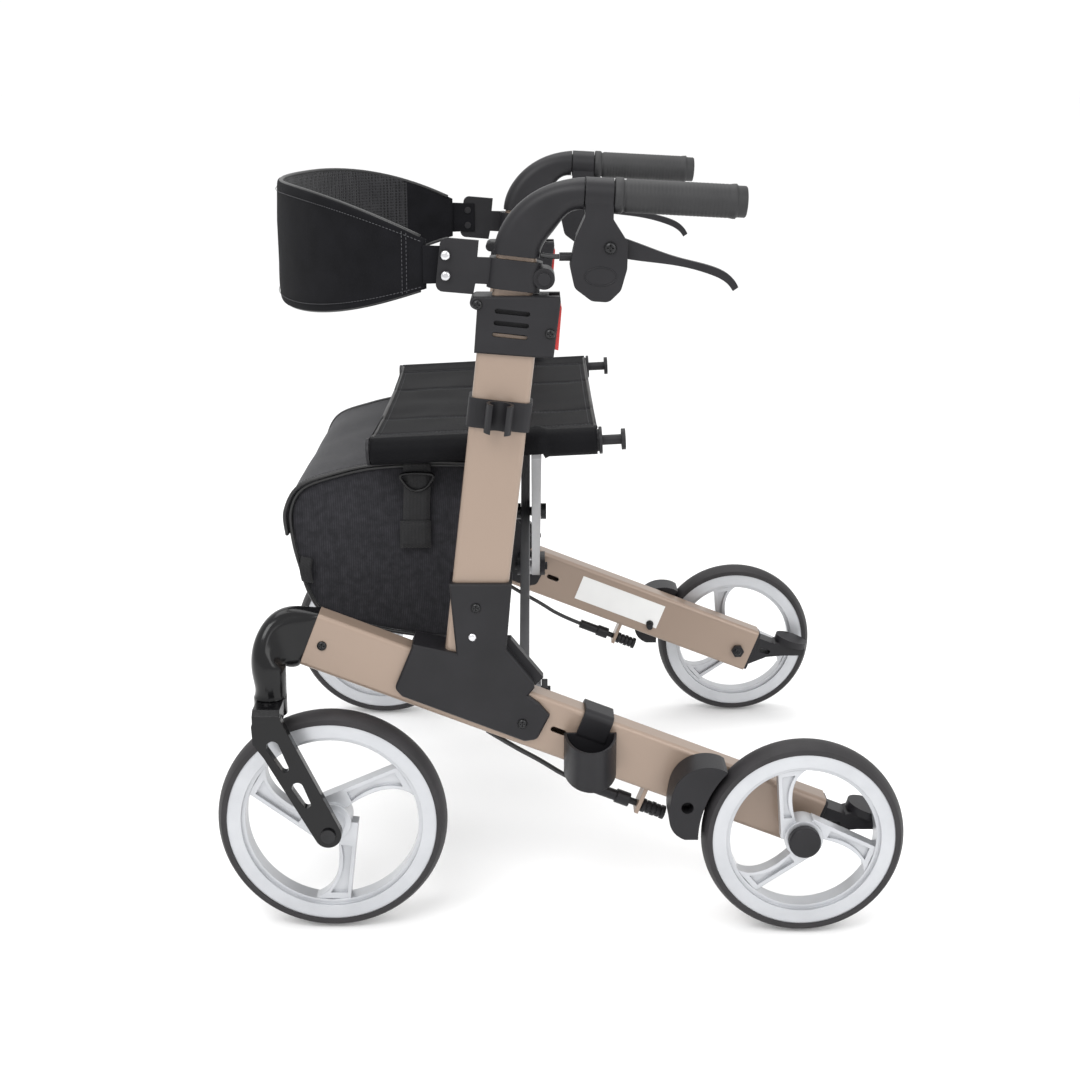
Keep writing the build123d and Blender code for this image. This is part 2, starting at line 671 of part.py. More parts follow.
# Backrest clamp: collar round the stem, arm, plate with two dome bolts, and clamp knob.
PLATE_THICKNESS = 4.0
PLATE_BOLTS = [(347.4, 668.8), (347.4, 650.3)]
PLATE_BOLT_RADIUS = 4.0
COLLAR_LOW_Z = 637.0
COLLAR_HEIGHT = 28.0
with BuildPart() as backrest_clamp:
    with BuildSketch(upright_plane(COLLAR_LOW_Z)):
        RectangleRounded(50, 32, 12)
    extrude(amount=COLLAR_HEIGHT)
    with BuildSketch(side_plane(TUBE_Y + 16)):
        with Locations((256, 648)):
            Circle(10)
    extrude(amount=32)
    with BuildSketch(side_plane(TUBE_Y + 20)):
        with Locations((256, 648)):
            Circle(6)
    extrude(amount=40)
    with BuildSketch(side_plane(TUBE_Y + 10)):
        with BuildLine():
            Polyline((300, 667), (318, 667.5), (316.5, 683), (352, 686), (357.5, 636), (322, 633), (320, 643),
                     (300, 642), close=True)
        make_face()
        fillet(vertices().sort_by(Axis.X)[-2:], radius=7)
    extrude(amount=PLATE_THICKNESS)
    with BuildSketch(side_plane(TUBE_Y + 13)):
        with Locations(*PLATE_BOLTS):
            Circle(PLATE_BOLT_RADIUS)
    extrude(amount=11)
    with BuildSketch(upright_plane(COLLAR_LOW_Z - 10)):
        RectangleRounded(HANDLE_STEM_DEPTH, HANDLE_STEM_WIDTH, HANDLE_STEM_CORNER)
    extrude(amount=COLLAR_HEIGHT + 20, mode=Mode.SUBTRACT)
keep_pair(backrest_clamp.part, "backrest_clamp")

# =====================================================================================
# Wheels, fork and brakes
# =====================================================================================


def wheel_section(station, y, z):
    """Half-section plane of a wheel: local x is the radius, local y runs outboard."""
    return Plane(origin=at(station, y, z), x_dir=(0, 0, 1), z_dir=(-1, 0, 0))


def tyre(station, y, radius):
    half = TYRE_WIDTH / 2
    inner = radius - TYRE_DEPTH
    shoulder = radius - TYRE_CROWN
    with BuildPart() as ring:
        with BuildSketch(wheel_section(station, y, radius)):
            with BuildLine():
                Polyline((shoulder, half), (inner, half), (inner, -half), (shoulder, -half))
                ThreePointArc((shoulder, -half), (radius, 0), (shoulder, half))
            make_face()
        revolve(axis=Axis(at(station, y, radius), (0, 1, 0)))
    return ring.part


def spoke_outline(lip):
    """One swept spoke along local x, straight on one side and curved on the other."""
    top = 0.30 * lip
    foot = 0.08 * lip
    with BuildSketch() as outline:
        with BuildLine():
            root = Line((0, foot), (0.2 * lip, foot))
            curved = Spline(root @ 1, (0.64 * lip, 0.12 * lip), (0.86 * lip, 0.05 * lip), (lip + 1, -0.14 * lip))
            Polyline(curved @ 1, (0.97 * lip, top), (0, top), (0, foot))
        make_face()
    return outline.sketch


def pocket_outline(lip):
    """Recess inside one spoke, a rib's width in from its two long edges."""
    top = 0.30 * lip - SPOKE_RIB
    foot = 0.08 * lip + SPOKE_RIB
    with BuildSketch() as outline:
        with BuildLine():
            curved = Spline((0.3 * lip, foot), (0.64 * lip, 0.04 * lip + foot), (0.92 * lip, -0.07 * lip + foot))
            Polyline(curved @ 1, (0.9 * lip, top), (0.3 * lip, top), (0.3 * lip, foot))
        make_face()
    return outline.sketch


def rim(station, y, radius, spoke_turn, nose_reach):
    """Cast rim with swept spokes; the hub's nose stands nose_reach outboard of the wheel plane."""
    outer = radius - TYRE_DEPTH
    face = outer - RIM_FACE_DEPTH
    lip = face - RIM_LIP_DEPTH
    wheel_view = Plane(origin=at(station, y, radius), x_dir=(-1, 0, 0), z_dir=(0, 1, 0))
    with BuildPart() as wheel:
        for ring_outer, ring_inner, ring_width in ((outer, face, RIM_WIDTH), (face, lip, RIM_LIP_WIDTH)):
            with BuildSketch(wheel_view):
                Circle(ring_outer)
                Circle(ring_inner, mode=Mode.SUBTRACT)
            extrude(amount=ring_width / 2, both=True)
        with BuildSketch(wheel_view):
            with PolarLocations(0, SPOKES, start_angle=spoke_turn):
                add(spoke_outline(lip))
        extrude(amount=SPOKE_WIDTH / 2, both=True)
        for side in (1, -1):
            with BuildSketch(wheel_view.offset(side * SPOKE_WEB / 2)):
                with PolarLocations(0, SPOKES, start_angle=spoke_turn):
                    add(pocket_outline(lip))
            extrude(amount=side * SPOKE_WIDTH, mode=Mode.SUBTRACT)
        with BuildSketch(wheel_view):
            Circle(HUB_RADIUS)
        extrude(amount=RIM_WIDTH / 2 - HUB_RECESS, both=True)
        with BuildSketch(wheel_view):
            Circle(HUB_NOSE_RADIUS)
        extrude(amount=nose_reach)
        with BuildSketch(wheel_view):
            Circle(AXLE_RADIUS + RUNNING_GAP)
        extrude(amount=2 * RIM_WIDTH, both=True, mode=Mode.SUBTRACT)
    return wheel.part


REAR_NOSE_REACH = 12.0
FRONT_NOSE_REACH = FORK_ARM_INNER_Y - FRONT_WHEEL_Y - 0.5
keep_pair(tyre(0, REAR_WHEEL_Y, REAR_RADIUS), "rear_tyre")
keep_pair(tyre(WHEELBASE, FRONT_WHEEL_Y, FRONT_RADIUS), "front_tyre")
keep_pair(rim(0, REAR_WHEEL_Y, REAR_RADIUS, REAR_SPOKE_TURN, REAR_NOSE_REACH), "rear_rim")
keep_pair(rim(WHEELBASE, FRONT_WHEEL_Y, FRONT_RADIUS, FRONT_SPOKE_TURN, FRONT_NOSE_REACH), "front_rim")

# Rear axle: bolt through the lower tube with a round cap outside the wheel.
HUB_CAP_RADIUS = 15.7
HUB_CAP_OUTER_Y = 301.0
REAR_AXLE_COLLAR_RADIUS = 9.0
with BuildPart() as rear_axle:
    with BuildSketch(side_plane(HUB_CAP_OUTER_Y - 2)):
        with Locations((0, REAR_RADIUS)):
            Circle(AXLE_RADIUS)
    extrude(amount=HUB_CAP_OUTER_Y - 2 - (TUBE_Y - TUBE_WIDTH / 2 - 6))
    with BuildSketch(side_plane(HUB_CAP_OUTER_Y)):
        with Locations((0, REAR_RADIUS)):
            Circle(HUB_CAP_RADIUS)
    extrude(amount=HUB_CAP_OUTER_Y - REAR_WHEEL_Y - RIM_WIDTH / 2 - 0.3)
    fillet(faces().sort_by(Axis.Y)[-1].edges(), radius=2.5)
    with BuildSketch(side_plane(HUB_CAP_OUTER_Y - 5)):
        with Locations((0, REAR_RADIUS)):
            Circle(HUB_NOSE_RADIUS + 0.5)
    extrude(amount=-5 + HUB_CAP_OUTER_Y - REAR_WHEEL_Y - REAR_NOSE_REACH + 0.3 - 3.5, mode=Mode.ADD)
    with BuildSketch(side_plane(REAR_WHEEL_Y - RIM_WIDTH / 2 + 0.5)):
        with Locations((0, REAR_RADIUS)):
            Circle(REAR_AXLE_COLLAR_RADIUS)
    extrude(amount=REAR_WHEEL_Y - RIM_WIDTH / 2 + 0.5 - TUBE_Y - TUBE_WIDTH / 2)
    with BuildSketch(side_plane(TUBE_Y - TUBE_WIDTH / 2)):
        with Locations((0, REAR_RADIUS)):
            RegularPolygon(8, 6)
    extrude(amount=6)
keep_pair(rear_axle.part, "rear_axle")

# Caster fork: single arm outside the wheel, its crown under the elbow and its pin inside the elbow.
FORK_ARM_OUTLINE_FRONT = [(531.0, 238.0), (535.0, 226.0), (534.0, 208.0), (524.0, 194.0), (476.0, 107.0)]
FORK_ARM_OUTLINE_REAR = [(453.0, 119.5), (499.0, 216.0), (507.0, 233.0), (512.0, 240.5)]
FORK_CROWN_BOTTOM_Z = 224.5
with BuildPart() as fork:
    with BuildSketch(side_plane(FORK_ARM_INNER_Y + FORK_ARM_THICKNESS)):
        with BuildLine():
            front_edge = Polyline(*FORK_ARM_OUTLINE_FRONT)
            rear_edge = Polyline(*FORK_ARM_OUTLINE_REAR)
            ThreePointArc(
                front_edge @ 1,
                (WHEELBASE - 0.5 * FORK_TIP_RADIUS, FRONT_RADIUS - 0.866 * FORK_TIP_RADIUS),
                rear_edge @ 0,
            )
            Line(rear_edge @ 1, front_edge @ 0)
        make_face()
    extrude(amount=FORK_ARM_THICKNESS)
    for slot_top, top_radius, slot_foot, foot_radius in (
        ((515.0, 205.0), 6.2, (504.0, 183.0), 3.8),
        ((492.5, 163.0), 5.6, (484.0, 146.0), 3.8),
    ):
        with BuildSketch(side_plane(FORK_ARM_INNER_Y + FORK_ARM_THICKNESS)):
            with Locations(slot_top):
                Circle(top_radius)
            with Locations(slot_foot):
                Circle(foot_radius)
            make_hull()
        extrude(amount=FORK_ARM_THICKNESS, mode=Mode.SUBTRACT)
    with BuildSketch(Plane(origin=at(STEM_STATION, FRONT_WHEEL_Y, FORK_CROWN_BOTTOM_Z))):
        Circle(STEM_RADIUS)
        with Locations((-1, (FORK_ARM_INNER_Y + FORK_ARM_THICKNESS - FRONT_WHEEL_Y) / 2)):
            Rectangle(26, FORK_ARM_INNER_Y + FORK_ARM_THICKNESS - FRONT_WHEEL_Y)
    extrude(amount=STEM_BOTTOM_Z - CASTER_GAP - FORK_CROWN_BOTTOM_Z)
    chamfer(edges().filter_by(Axis.X).sort_by(Axis.Z)[-1], length=5)
    with BuildSketch(Plane(origin=at(STEM_STATION, FRONT_WHEEL_Y, STEM_BOTTOM_Z - CASTER_GAP))):
        Circle(STEM_PIN_RADIUS)
    extrude(amount=STEM_PIN_LENGTH)
    with BuildSketch(side_plane(FORK_ARM_INNER_Y + FORK_ARM_THICKNESS)):
        with Locations((WHEELBASE, FRONT_RADIUS)):
            Circle(AXLE_RADIUS)
    extrude(amount=FORK_ARM_THICKNESS, mode=Mode.SUBTRACT)
keep_pair(fork.part, "fork")

FRONT_AXLE_HEAD = 3.0
with BuildPart() as front_axle:
    with BuildSketch(side_plane(FORK_ARM_INNER_Y + FORK_ARM_THICKNESS + FRONT_AXLE_HEAD)):
        with Locations((WHEELBASE, FRONT_RADIUS)):
            Circle(AXLE_RADIUS + 2)
    extrude(amount=FRONT_AXLE_HEAD)
    with BuildSketch(side_plane(FORK_ARM_INNER_Y + FORK_ARM_THICKNESS)):
        with Locations((WHEELBASE, FRONT_RADIUS)):
            Circle(AXLE_RADIUS)
    extrude(amount=FORK_ARM_INNER_Y + FORK_ARM_THICKNESS - FRONT_WHEEL_Y + RIM_WIDTH / 2 + 1)
    with BuildSketch(side_plane(FRONT_WHEEL_Y - RIM_WIDTH / 2 - 0.5)):
        with Locations((WHEELBASE, FRONT_RADIUS)):
            Circle(AXLE_RADIUS + 4)
    extrude(amount=4)
keep_pair(front_axle.part, "front_axle")

# Brake arm: pivoted block whose upper lobe presses on the rear tyre.
BRAKE_ARM_OUTLINE = [
    (117.0, 100.0),
    (131.0, 113.0),
    (132.0, 138.0),
    (127.0, 157.0),
    (114.0, 171.0),
    (98.0, 176.0),
    (80.0, 173.0),
]
BRAKE_CLEARANCE = 4.0
BRAKE_ARM_OUTER_Y = 292.0
with BuildPart() as brake_arm:
    with BuildSketch(side_plane(BRAKE_ARM_OUTER_Y)):
        with BuildLine():
            arm_edge = Spline(*BRAKE_ARM_OUTLINE)
            Polyline(arm_edge @ 1, (60, 160), (60, 100), arm_edge @ 0)
        make_face()
        with Locations((0, REAR_RADIUS)):
            Circle(REAR_RADIUS + BRAKE_CLEARANCE, mode=Mode.SUBTRACT)
    extrude(amount=BRAKE_ARM_OUTER_Y - TUBE_Y - TUBE_WIDTH / 2 - 1)
    with BuildSketch(side_plane(BRAKE_ARM_OUTER_Y)):
        with Locations(on_lower_tube(BRAKE_PIVOT_ALONG, BRAKE_PIVOT_ABOVE)):
            Circle(6)
    extrude(amount=16, mode=Mode.SUBTRACT)
    with BuildSketch(side_plane(BRAKE_ARM_OUTER_Y)):
        with Locations(on_lower_tube(BRAKE_PIVOT_ALONG, BRAKE_PIVOT_ABOVE)):
            Circle(AXLE_RADIUS - 1 + RUNNING_GAP)
    extrude(amount=80, mode=Mode.SUBTRACT)
keep_pair(brake_arm.part, "brake_arm")

# Cable adjuster: threaded barrel ahead of the tab, bellows behind it, and the pivot bolt of the brake arm.
with BuildPart() as cable_adjuster:
    with BuildSketch(lower_tube_plane(TAB_ALONG - 46, -CABLE_LINE_DROP)):
        Circle(5.5)
    extrude(amount=24)
    with BuildSketch(lower_tube_plane(TAB_ALONG - 22, -CABLE_LINE_DROP)):
        Circle(7)
    extrude(amount=14)
    with BuildSketch(lower_tube_plane(TAB_ALONG - 8, -CABLE_LINE_DROP)):
        Circle(CABLE_RADIUS + 1)
    extrude(amount=22)
    for fold in range(5):
        with BuildSketch(lower_tube_plane(TAB_ALONG + TAB_THICKNESS + 2 + 5.2 * fold, -CABLE_LINE_DROP)):
            Circle(7 - 0.5 * (fold % 2))
        extrude(amount=3.4)
    with BuildSketch(lower_tube_plane(TAB_ALONG + TAB_THICKNESS, -CABLE_LINE_DROP)):
        Circle(5.2)
    extrude(amount=26)
    with BuildSketch(side_plane(BRAKE_ARM_OUTER_Y - 13)):
        with Locations(on_lower_tube(BRAKE_PIVOT_ALONG, BRAKE_PIVOT_ABOVE)):
            Circle(AXLE_RADIUS - 1)
    extrude(amount=BRAKE_ARM_OUTER_Y - 13 - (TUBE_Y - TUBE_WIDTH / 2 - 4))
keep_pair(cable_adjuster.part, "cable_adjuster")

# =====================================================================================
# Cables, cane cup and cane clip
# =====================================================================================


def cable(route, radii):
    """Round cable along straight runs joined by tangent arcs."""
    with BuildPart() as tube:
        with BuildLine() as path:
            FilletPolyline(*[at(*point) for point in route], radius=radii)
        start = path.line @ 0
        direction = path.line % 0
        with BuildSketch(Plane(origin=start, z_dir=direction)):
            Circle(CABLE_RADIUS)
        sweep(path=path.line)
    return tube.part


def arc_radii(route):
    """For each corner, the largest arc that 0.45 of its shorter run allows."""
    points = [Vector(*point) for point in route]
    radii = []
    for before, corner, after in zip(points, points[1:], points[2:]):
        turn = (corner - before).get_angle(after - corner)
        shorter = min((corner - before).length, (after - corner).length)
        radii.append(0.45 * shorter / tan(radians(turn) / 2))
    return radii


adjuster_mouth = on_lower_tube(TAB_ALONG - 46, -CABLE_LINE_DROP)
adjuster_lead = on_lower_tube(TAB_ALONG - 76, -CABLE_LINE_DROP + 0.6)
LOWER_CABLE_ROUTE = [
    (312.0, TUBE_Y, 193.6),
    (286.0, TUBE_Y, 176.5),
    (258.0, TUBE_Y, 161.0),
    (adjuster_lead[0], TUBE_Y, adjuster_lead[1]),
    (adjuster_mouth[0], TUBE_Y, adjuster_mouth[1]),
]
UPPER_CABLE_ROUTE = [
    (242.2, GRIP_Y, 668.0),
    (251.0, GRIP_Y, 668.2),
    (259.4, GRIP_Y - 0.5, 669.5),
]
keep_pair(cable(LOWER_CABLE_ROUTE, arc_radii(LOWER_CABLE_ROUTE)), "lower_cable")
keep_pair(cable(UPPER_CABLE_ROUTE, arc_radii(UPPER_CABLE_ROUTE)), "upper_cable")
for corner_radius in arc_radii(LOWER_CABLE_ROUTE) + arc_radii(UPPER_CABLE_ROUTE):
    print(f"cable arc radius {corner_radius:.1f}")

# Cane cup: D-shaped cup on the outside of the left lower tube, hooked over the tube's top.
CUP_STATION = 209.5
CUP_HALF_WIDTH = 27.0
CUP_REACH = 52.0
CUP_TOP_Z = 197.5
CUP_BOTTOM_Z = 157.0
CUP_WALL = 2.5
TUBE_FACE_Y = TUBE_Y + TUBE_WIDTH / 2
HOOK_ALONG = 294.0
HOOK_WIDTH = 30.0
with BuildPart() as cane_cup:
    with BuildSketch(Plane(origin=at(CUP_STATION, TUBE_FACE_Y, CUP_BOTTOM_Z))):
        Ellipse(CUP_HALF_WIDTH - 1, CUP_REACH - 1)
        with Locations((0, -CUP_REACH)):
            Rectangle(4 * CUP_HALF_WIDTH, 2 * CUP_REACH, mode=Mode.SUBTRACT)
    extrude(amount=CUP_TOP_Z - CUP_BOTTOM_Z)
    with BuildSketch(Plane(origin=at(CUP_STATION, TUBE_FACE_Y, CUP_BOTTOM_Z + CUP_WALL))):
        Ellipse(CUP_HALF_WIDTH - 1 - CUP_WALL, CUP_REACH - 1 - CUP_WALL)
        with Locations((0, -CUP_REACH + CUP_WALL)):
            Rectangle(4 * CUP_HALF_WIDTH, 2 * CUP_REACH, mode=Mode.SUBTRACT)
    extrude(amount=CUP_TOP_Z - CUP_BOTTOM_Z, mode=Mode.SUBTRACT)
    with BuildSketch(lower_tube_plane(HOOK_ALONG - HOOK_WIDTH / 2)):
        with Locations((0, -LOWER_TUBE_HEIGHT / 4 - 2)):
            RectangleRounded(TUBE_WIDTH + 7, LOWER_TUBE_HEIGHT / 2 + 4, TUBE_CORNER + 2)
    extrude(amount=HOOK_WIDTH)
    with BuildSketch(lower_tube_plane(0)):
        RectangleRounded(TUBE_WIDTH, LOWER_TUBE_HEIGHT, TUBE_CORNER)
    extrude(amount=LOWER_TUBE_LENGTH, mode=Mode.SUBTRACT)
    with BuildSketch(Plane(origin=at(CUP_STATION, TUBE_FACE_Y, CUP_BOTTOM_Z + CUP_WALL))):
        Ellipse(CUP_HALF_WIDTH - 1 - CUP_WALL, CUP_REACH - 1 - CUP_WALL)
        with Locations((0, -CUP_REACH + 3.5)):
            Rectangle(4 * CUP_HALF_WIDTH, 2 * CUP_REACH, mode=Mode.SUBTRACT)
    extrude(amount=2 * (CUP_TOP_Z - CUP_BOTTOM_Z), mode=Mode.SUBTRACT)
keep(cane_cup.part, "cane_cup")

# Cane clip: band round the left upright with an open C on its outer face.
CLIP_BAND_Z = 505.0
CLIP_HEIGHT = 28.0
CLIP_BORE = 10.0
CLIP_WALL = 3.0
CLIP_CENTRE_Y = TUBE_Y + TUBE_WIDTH / 2 + 3 + CLIP_BORE + CLIP_WALL
with BuildPart() as cane_clip:
    with BuildSketch(upright_plane(CLIP_BAND_Z)):
        RectangleRounded(UPRIGHT_DEPTH + 6, TUBE_WIDTH + 6, TUBE_CORNER + 3)
        with Locations((0, CLIP_CENTRE_Y - TUBE_Y)):
            Circle(CLIP_BORE + CLIP_WALL)
        with Locations((0, TUBE_WIDTH / 2 + 4)):
            Rectangle(14, 8)
        with Locations((0, CLIP_CENTRE_Y - TUBE_Y)):
            Circle(CLIP_BORE, mode=Mode.SUBTRACT)
        with Locations((0, CLIP_CENTRE_Y - TUBE_Y + CLIP_BORE)):
            Rectangle(13, 2 * CLIP_BORE - 4, mode=Mode.SUBTRACT)
        RectangleRounded(UPRIGHT_DEPTH, TUBE_WIDTH, TUBE_CORNER, mode=Mode.SUBTRACT)
    extrude(amount=CLIP_HEIGHT)
keep(cane_clip.part, "cane_clip")

# =====================================================================================
# Soft goods
# =====================================================================================

# Seat: sling with a sleeve round each seat tube, notched at the brace arms' heads.
SLEEVE_RADIUS = SEAT_TUBE_RADIUS + SOFT_GAP + SLEEVE_WALL
SEAT_MARGIN = 1.0
NOTCH_LENGTH = ARM_STACK + 6
with BuildPart() as seat:
    with BuildSketch(seat_tube_plane(SEAT_MARGIN, 0)):
        with BuildLine():
            top = ThreePointArc(
                (-SEAT_TUBE_Y, -SLEEVE_RADIUS),
                (0, -SLEEVE_RADIUS + SEAT_SAG),
                (SEAT_TUBE_Y, -SLEEVE_RADIUS),
            )
            under = ThreePointArc(
                (SEAT_TUBE_Y, -SLEEVE_RADIUS + 4),
                (0, -SLEEVE_RADIUS + SEAT_SAG + 4),
                (-SEAT_TUBE_Y, -SLEEVE_RADIUS + 4),
            )
            Line(top @ 1, under @ 0)
            Line(under @ 1, top @ 0)
        make_face()
        with Locations((-SEAT_TUBE_Y, 0), (SEAT_TUBE_Y, 0)):
            Circle(SLEEVE_RADIUS)
        with Locations((-SEAT_TUBE_Y, 0), (SEAT_TUBE_Y, 0)):
            Circle(SEAT_TUBE_RADIUS + SOFT_GAP, mode=Mode.SUBTRACT)
    extrude(amount=SEAT_LENGTH - 2 * SEAT_MARGIN)
    for side in (-1, 1):
        notch_centre = at(ARM_STACK_STATION, side * SEAT_TUBE_Y, ARM_HEAD_Z)
        with BuildSketch(Plane(origin=notch_centre - Vector(NOTCH_LENGTH / 2, 0, 0), x_dir=(0, 1, 0), z_dir=(1, 0, 0))):
            Rectangle(2 * SLEEVE_RADIUS + 30, 2 * SLEEVE_RADIUS + 12)
        extrude(amount=NOTCH_LENGTH, mode=Mode.SUBTRACT)
keep(seat.part, "seat")

# Bag: closed box with a sloping lid and a bulging front, hanging in front of the cross brace.
BAG_PROFILE = [
    (427.0, 448.0),
    (500.0, 428.0),
    (515.0, 396.0),
    (508.0, 366.0),
    (486.0, 292.0),
    (366.0, 262.0),
    (300.0, 280.0),
    (290.0, 330.0),
    (288.0, 448.0),
]
with BuildPart() as bag:
    with BuildSketch(side_plane(BAG_HALF_WIDTH)):
        with BuildLine():
            Polyline(*BAG_PROFILE, close=True)
        make_face()
        fillet(vertices(), radius=10)
    extrude(amount=2 * BAG_HALF_WIDTH)
    fillet(faces().filter_by(Axis.Y).edges(), radius=7)
keep(bag.part, "bag")

# Backrest: padded band bowing forward from one clamp plate to the other.
BACKREST_END_Y = 243.0
BACKREST_REACH = BACKREST_FRONT_STATION - BACKREST_END_STATION
BACKREST_TAB_Y = 247.7
BACKREST_TAB_THICKNESS = 3.0
BACKREST_TAB_END = 338.0
BACKREST_TAB_HEIGHT = 38.0
with BuildPart() as backrest:
    with BuildSketch(Plane(origin=at(BACKREST_END_STATION, 0, BACKREST_MID_Z - BACKREST_FRONT_HEIGHT / 2))):
        Ellipse(BACKREST_REACH, BACKREST_END_Y + BACKREST_THICKNESS / 2)
        Ellipse(BACKREST_REACH - BACKREST_THICKNESS, BACKREST_END_Y - BACKREST_THICKNESS / 2, mode=Mode.SUBTRACT)
        with Locations((-BACKREST_REACH / 2, 0)):
            Rectangle(BACKREST_REACH, 3 * BACKREST_END_Y, mode=Mode.SUBTRACT)
    extrude(amount=BACKREST_FRONT_HEIGHT)
    with BuildSketch(side_plane(2 * BACKREST_END_Y)):
        with BuildLine():
            Polyline(
                (BACKREST_END_STATION - 10, BACKREST_MID_Z - BACKREST_END_HEIGHT / 2),
                (BACKREST_END_STATION, BACKREST_MID_Z - BACKREST_END_HEIGHT / 2),
                (485, BACKREST_MID_Z - BACKREST_FRONT_HEIGHT / 2 + 4),
                (BACKREST_FRONT_STATION + 10, BACKREST_MID_Z - BACKREST_FRONT_HEIGHT / 2),
                (BACKREST_FRONT_STATION + 10, BACKREST_MID_Z + BACKREST_FRONT_HEIGHT / 2),
                (485, BACKREST_MID_Z + BACKREST_FRONT_HEIGHT / 2 - 4),
                (BACKREST_END_STATION, BACKREST_MID_Z + BACKREST_END_HEIGHT / 2),
                (BACKREST_END_STATION - 10, BACKREST_MID_Z + BACKREST_END_HEIGHT / 2),
                close=True,
            )
        make_face()
    extrude(amount=4 * BACKREST_END_Y, mode=Mode.INTERSECT)
    for tab_face_y in (BACKREST_TAB_Y, BACKREST_TAB_THICKNESS - BACKREST_TAB_Y):
        with BuildSketch(side_plane(tab_face_y)):
            with Locations(((BACKREST_TAB_END + BACKREST_END_STATION) / 2 + 2, BACKREST_MID_Z)):
                Rectangle(BACKREST_END_STATION - BACKREST_TAB_END + 4, BACKREST_TAB_HEIGHT)
            with Locations(*PLATE_BOLTS):
                Circle(PLATE_BOLT_RADIUS + 0.2, mode=Mode.SUBTRACT)
        extrude(amount=BACKREST_TAB_THICKNESS)
keep(backrest.part, "backrest")
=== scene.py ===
from math import cos, pi, radians, sin, sqrt, tan

import bmesh
import bpy
from mathutils import Matrix, Vector, noise


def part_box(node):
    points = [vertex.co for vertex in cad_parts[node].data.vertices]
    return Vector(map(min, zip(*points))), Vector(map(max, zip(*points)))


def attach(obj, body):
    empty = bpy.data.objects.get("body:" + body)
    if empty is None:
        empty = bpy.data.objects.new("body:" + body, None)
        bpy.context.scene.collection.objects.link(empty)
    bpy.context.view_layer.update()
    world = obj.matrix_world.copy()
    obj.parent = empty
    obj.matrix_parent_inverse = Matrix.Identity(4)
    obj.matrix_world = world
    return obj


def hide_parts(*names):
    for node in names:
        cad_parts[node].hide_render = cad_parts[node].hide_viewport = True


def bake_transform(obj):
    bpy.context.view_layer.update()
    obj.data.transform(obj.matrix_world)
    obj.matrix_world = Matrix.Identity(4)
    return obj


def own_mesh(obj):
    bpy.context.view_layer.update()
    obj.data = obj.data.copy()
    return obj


# Folding four-wheel walker: +X is forward, +Y the user's left, +Z up, in metres.
# Stations and heights named above the sections are in millimetres and go through spot().

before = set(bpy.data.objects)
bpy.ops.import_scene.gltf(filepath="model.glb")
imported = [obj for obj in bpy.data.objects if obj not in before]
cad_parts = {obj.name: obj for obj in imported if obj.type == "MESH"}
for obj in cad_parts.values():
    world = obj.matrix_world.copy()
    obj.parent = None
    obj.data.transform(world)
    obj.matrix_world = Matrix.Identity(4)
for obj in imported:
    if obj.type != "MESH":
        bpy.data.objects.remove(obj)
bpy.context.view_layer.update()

MM = 0.001
REAR_AXLE_X = sum(corner.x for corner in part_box("left_rear_tyre")) / 2
LOWER_TUBE_SLOPE = radians(21.3)
LOWER_TUBE_FRONT = (485.2, 294.0)
LOWER_TUBE_INNER_Y = 227.95
UPRIGHT_LEAN = radians(6.4)
UPRIGHT_FOOT = (325.6, 276.0)
SEAT_TUBE_Y = 199.0
SEAT_TUBE_SLOPE = radians(3.0)
SEAT_TUBE_FRONT = (427.0, 469.5)
GRIP_Y = 250.0
BAR_SLOPE = radians(2.9)
BAR_START = (219.5, 726.0)
CABLE_Y = 242.0
CABLE_RADIUS = 0.0024
SIDES = (("left", 1), ("right", -1))


# ---- places on the walker ----

def spot(station, y, z):
    """Point from millimetres: station is the distance forward of the rear axle."""
    return Vector((REAR_AXLE_X + station * MM, y * MM, z * MM))


def along_lower_tube(along, above, y):
    """Point from its distance behind the lower tube's front end and its height above the tube's axis."""
    return spot(
        LOWER_TUBE_FRONT[0] - along * cos(LOWER_TUBE_SLOPE) - above * sin(LOWER_TUBE_SLOPE),
        y,
        LOWER_TUBE_FRONT[1] - along * sin(LOWER_TUBE_SLOPE) + above * cos(LOWER_TUBE_SLOPE),
    )


def upright_station(z):
    """Distance of the upright's axis ahead of the rear axle, at a height."""
    return UPRIGHT_FOOT[0] - (z - UPRIGHT_FOOT[1]) * tan(UPRIGHT_LEAN)


def along_seat_tube(along, y, above=0.0):
    """Point from its distance behind a seat tube's front end."""
    return spot(
        SEAT_TUBE_FRONT[0] - along * cos(SEAT_TUBE_SLOPE) + above * sin(SEAT_TUBE_SLOPE),
        y,
        SEAT_TUBE_FRONT[1] + along * sin(SEAT_TUBE_SLOPE) + above * cos(SEAT_TUBE_SLOPE),
    )


def on_face(node, station, z, toward):
    """Point where a line along Y, coming from the side toward, first meets a CAD node."""
    start = spot(station, 600 * toward, z)
    hit, place, _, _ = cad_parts[node].ray_cast(start, Vector((0, -toward, 0)))
    if not hit:
        raise ValueError(f"nothing of {node} at {station}, {z}")
    return place


# ---- materials ----

def blank_material(name):
    material = bpy.data.materials.new(name)
    material.use_nodes = True
    return material, material.node_tree.nodes, material.node_tree.links


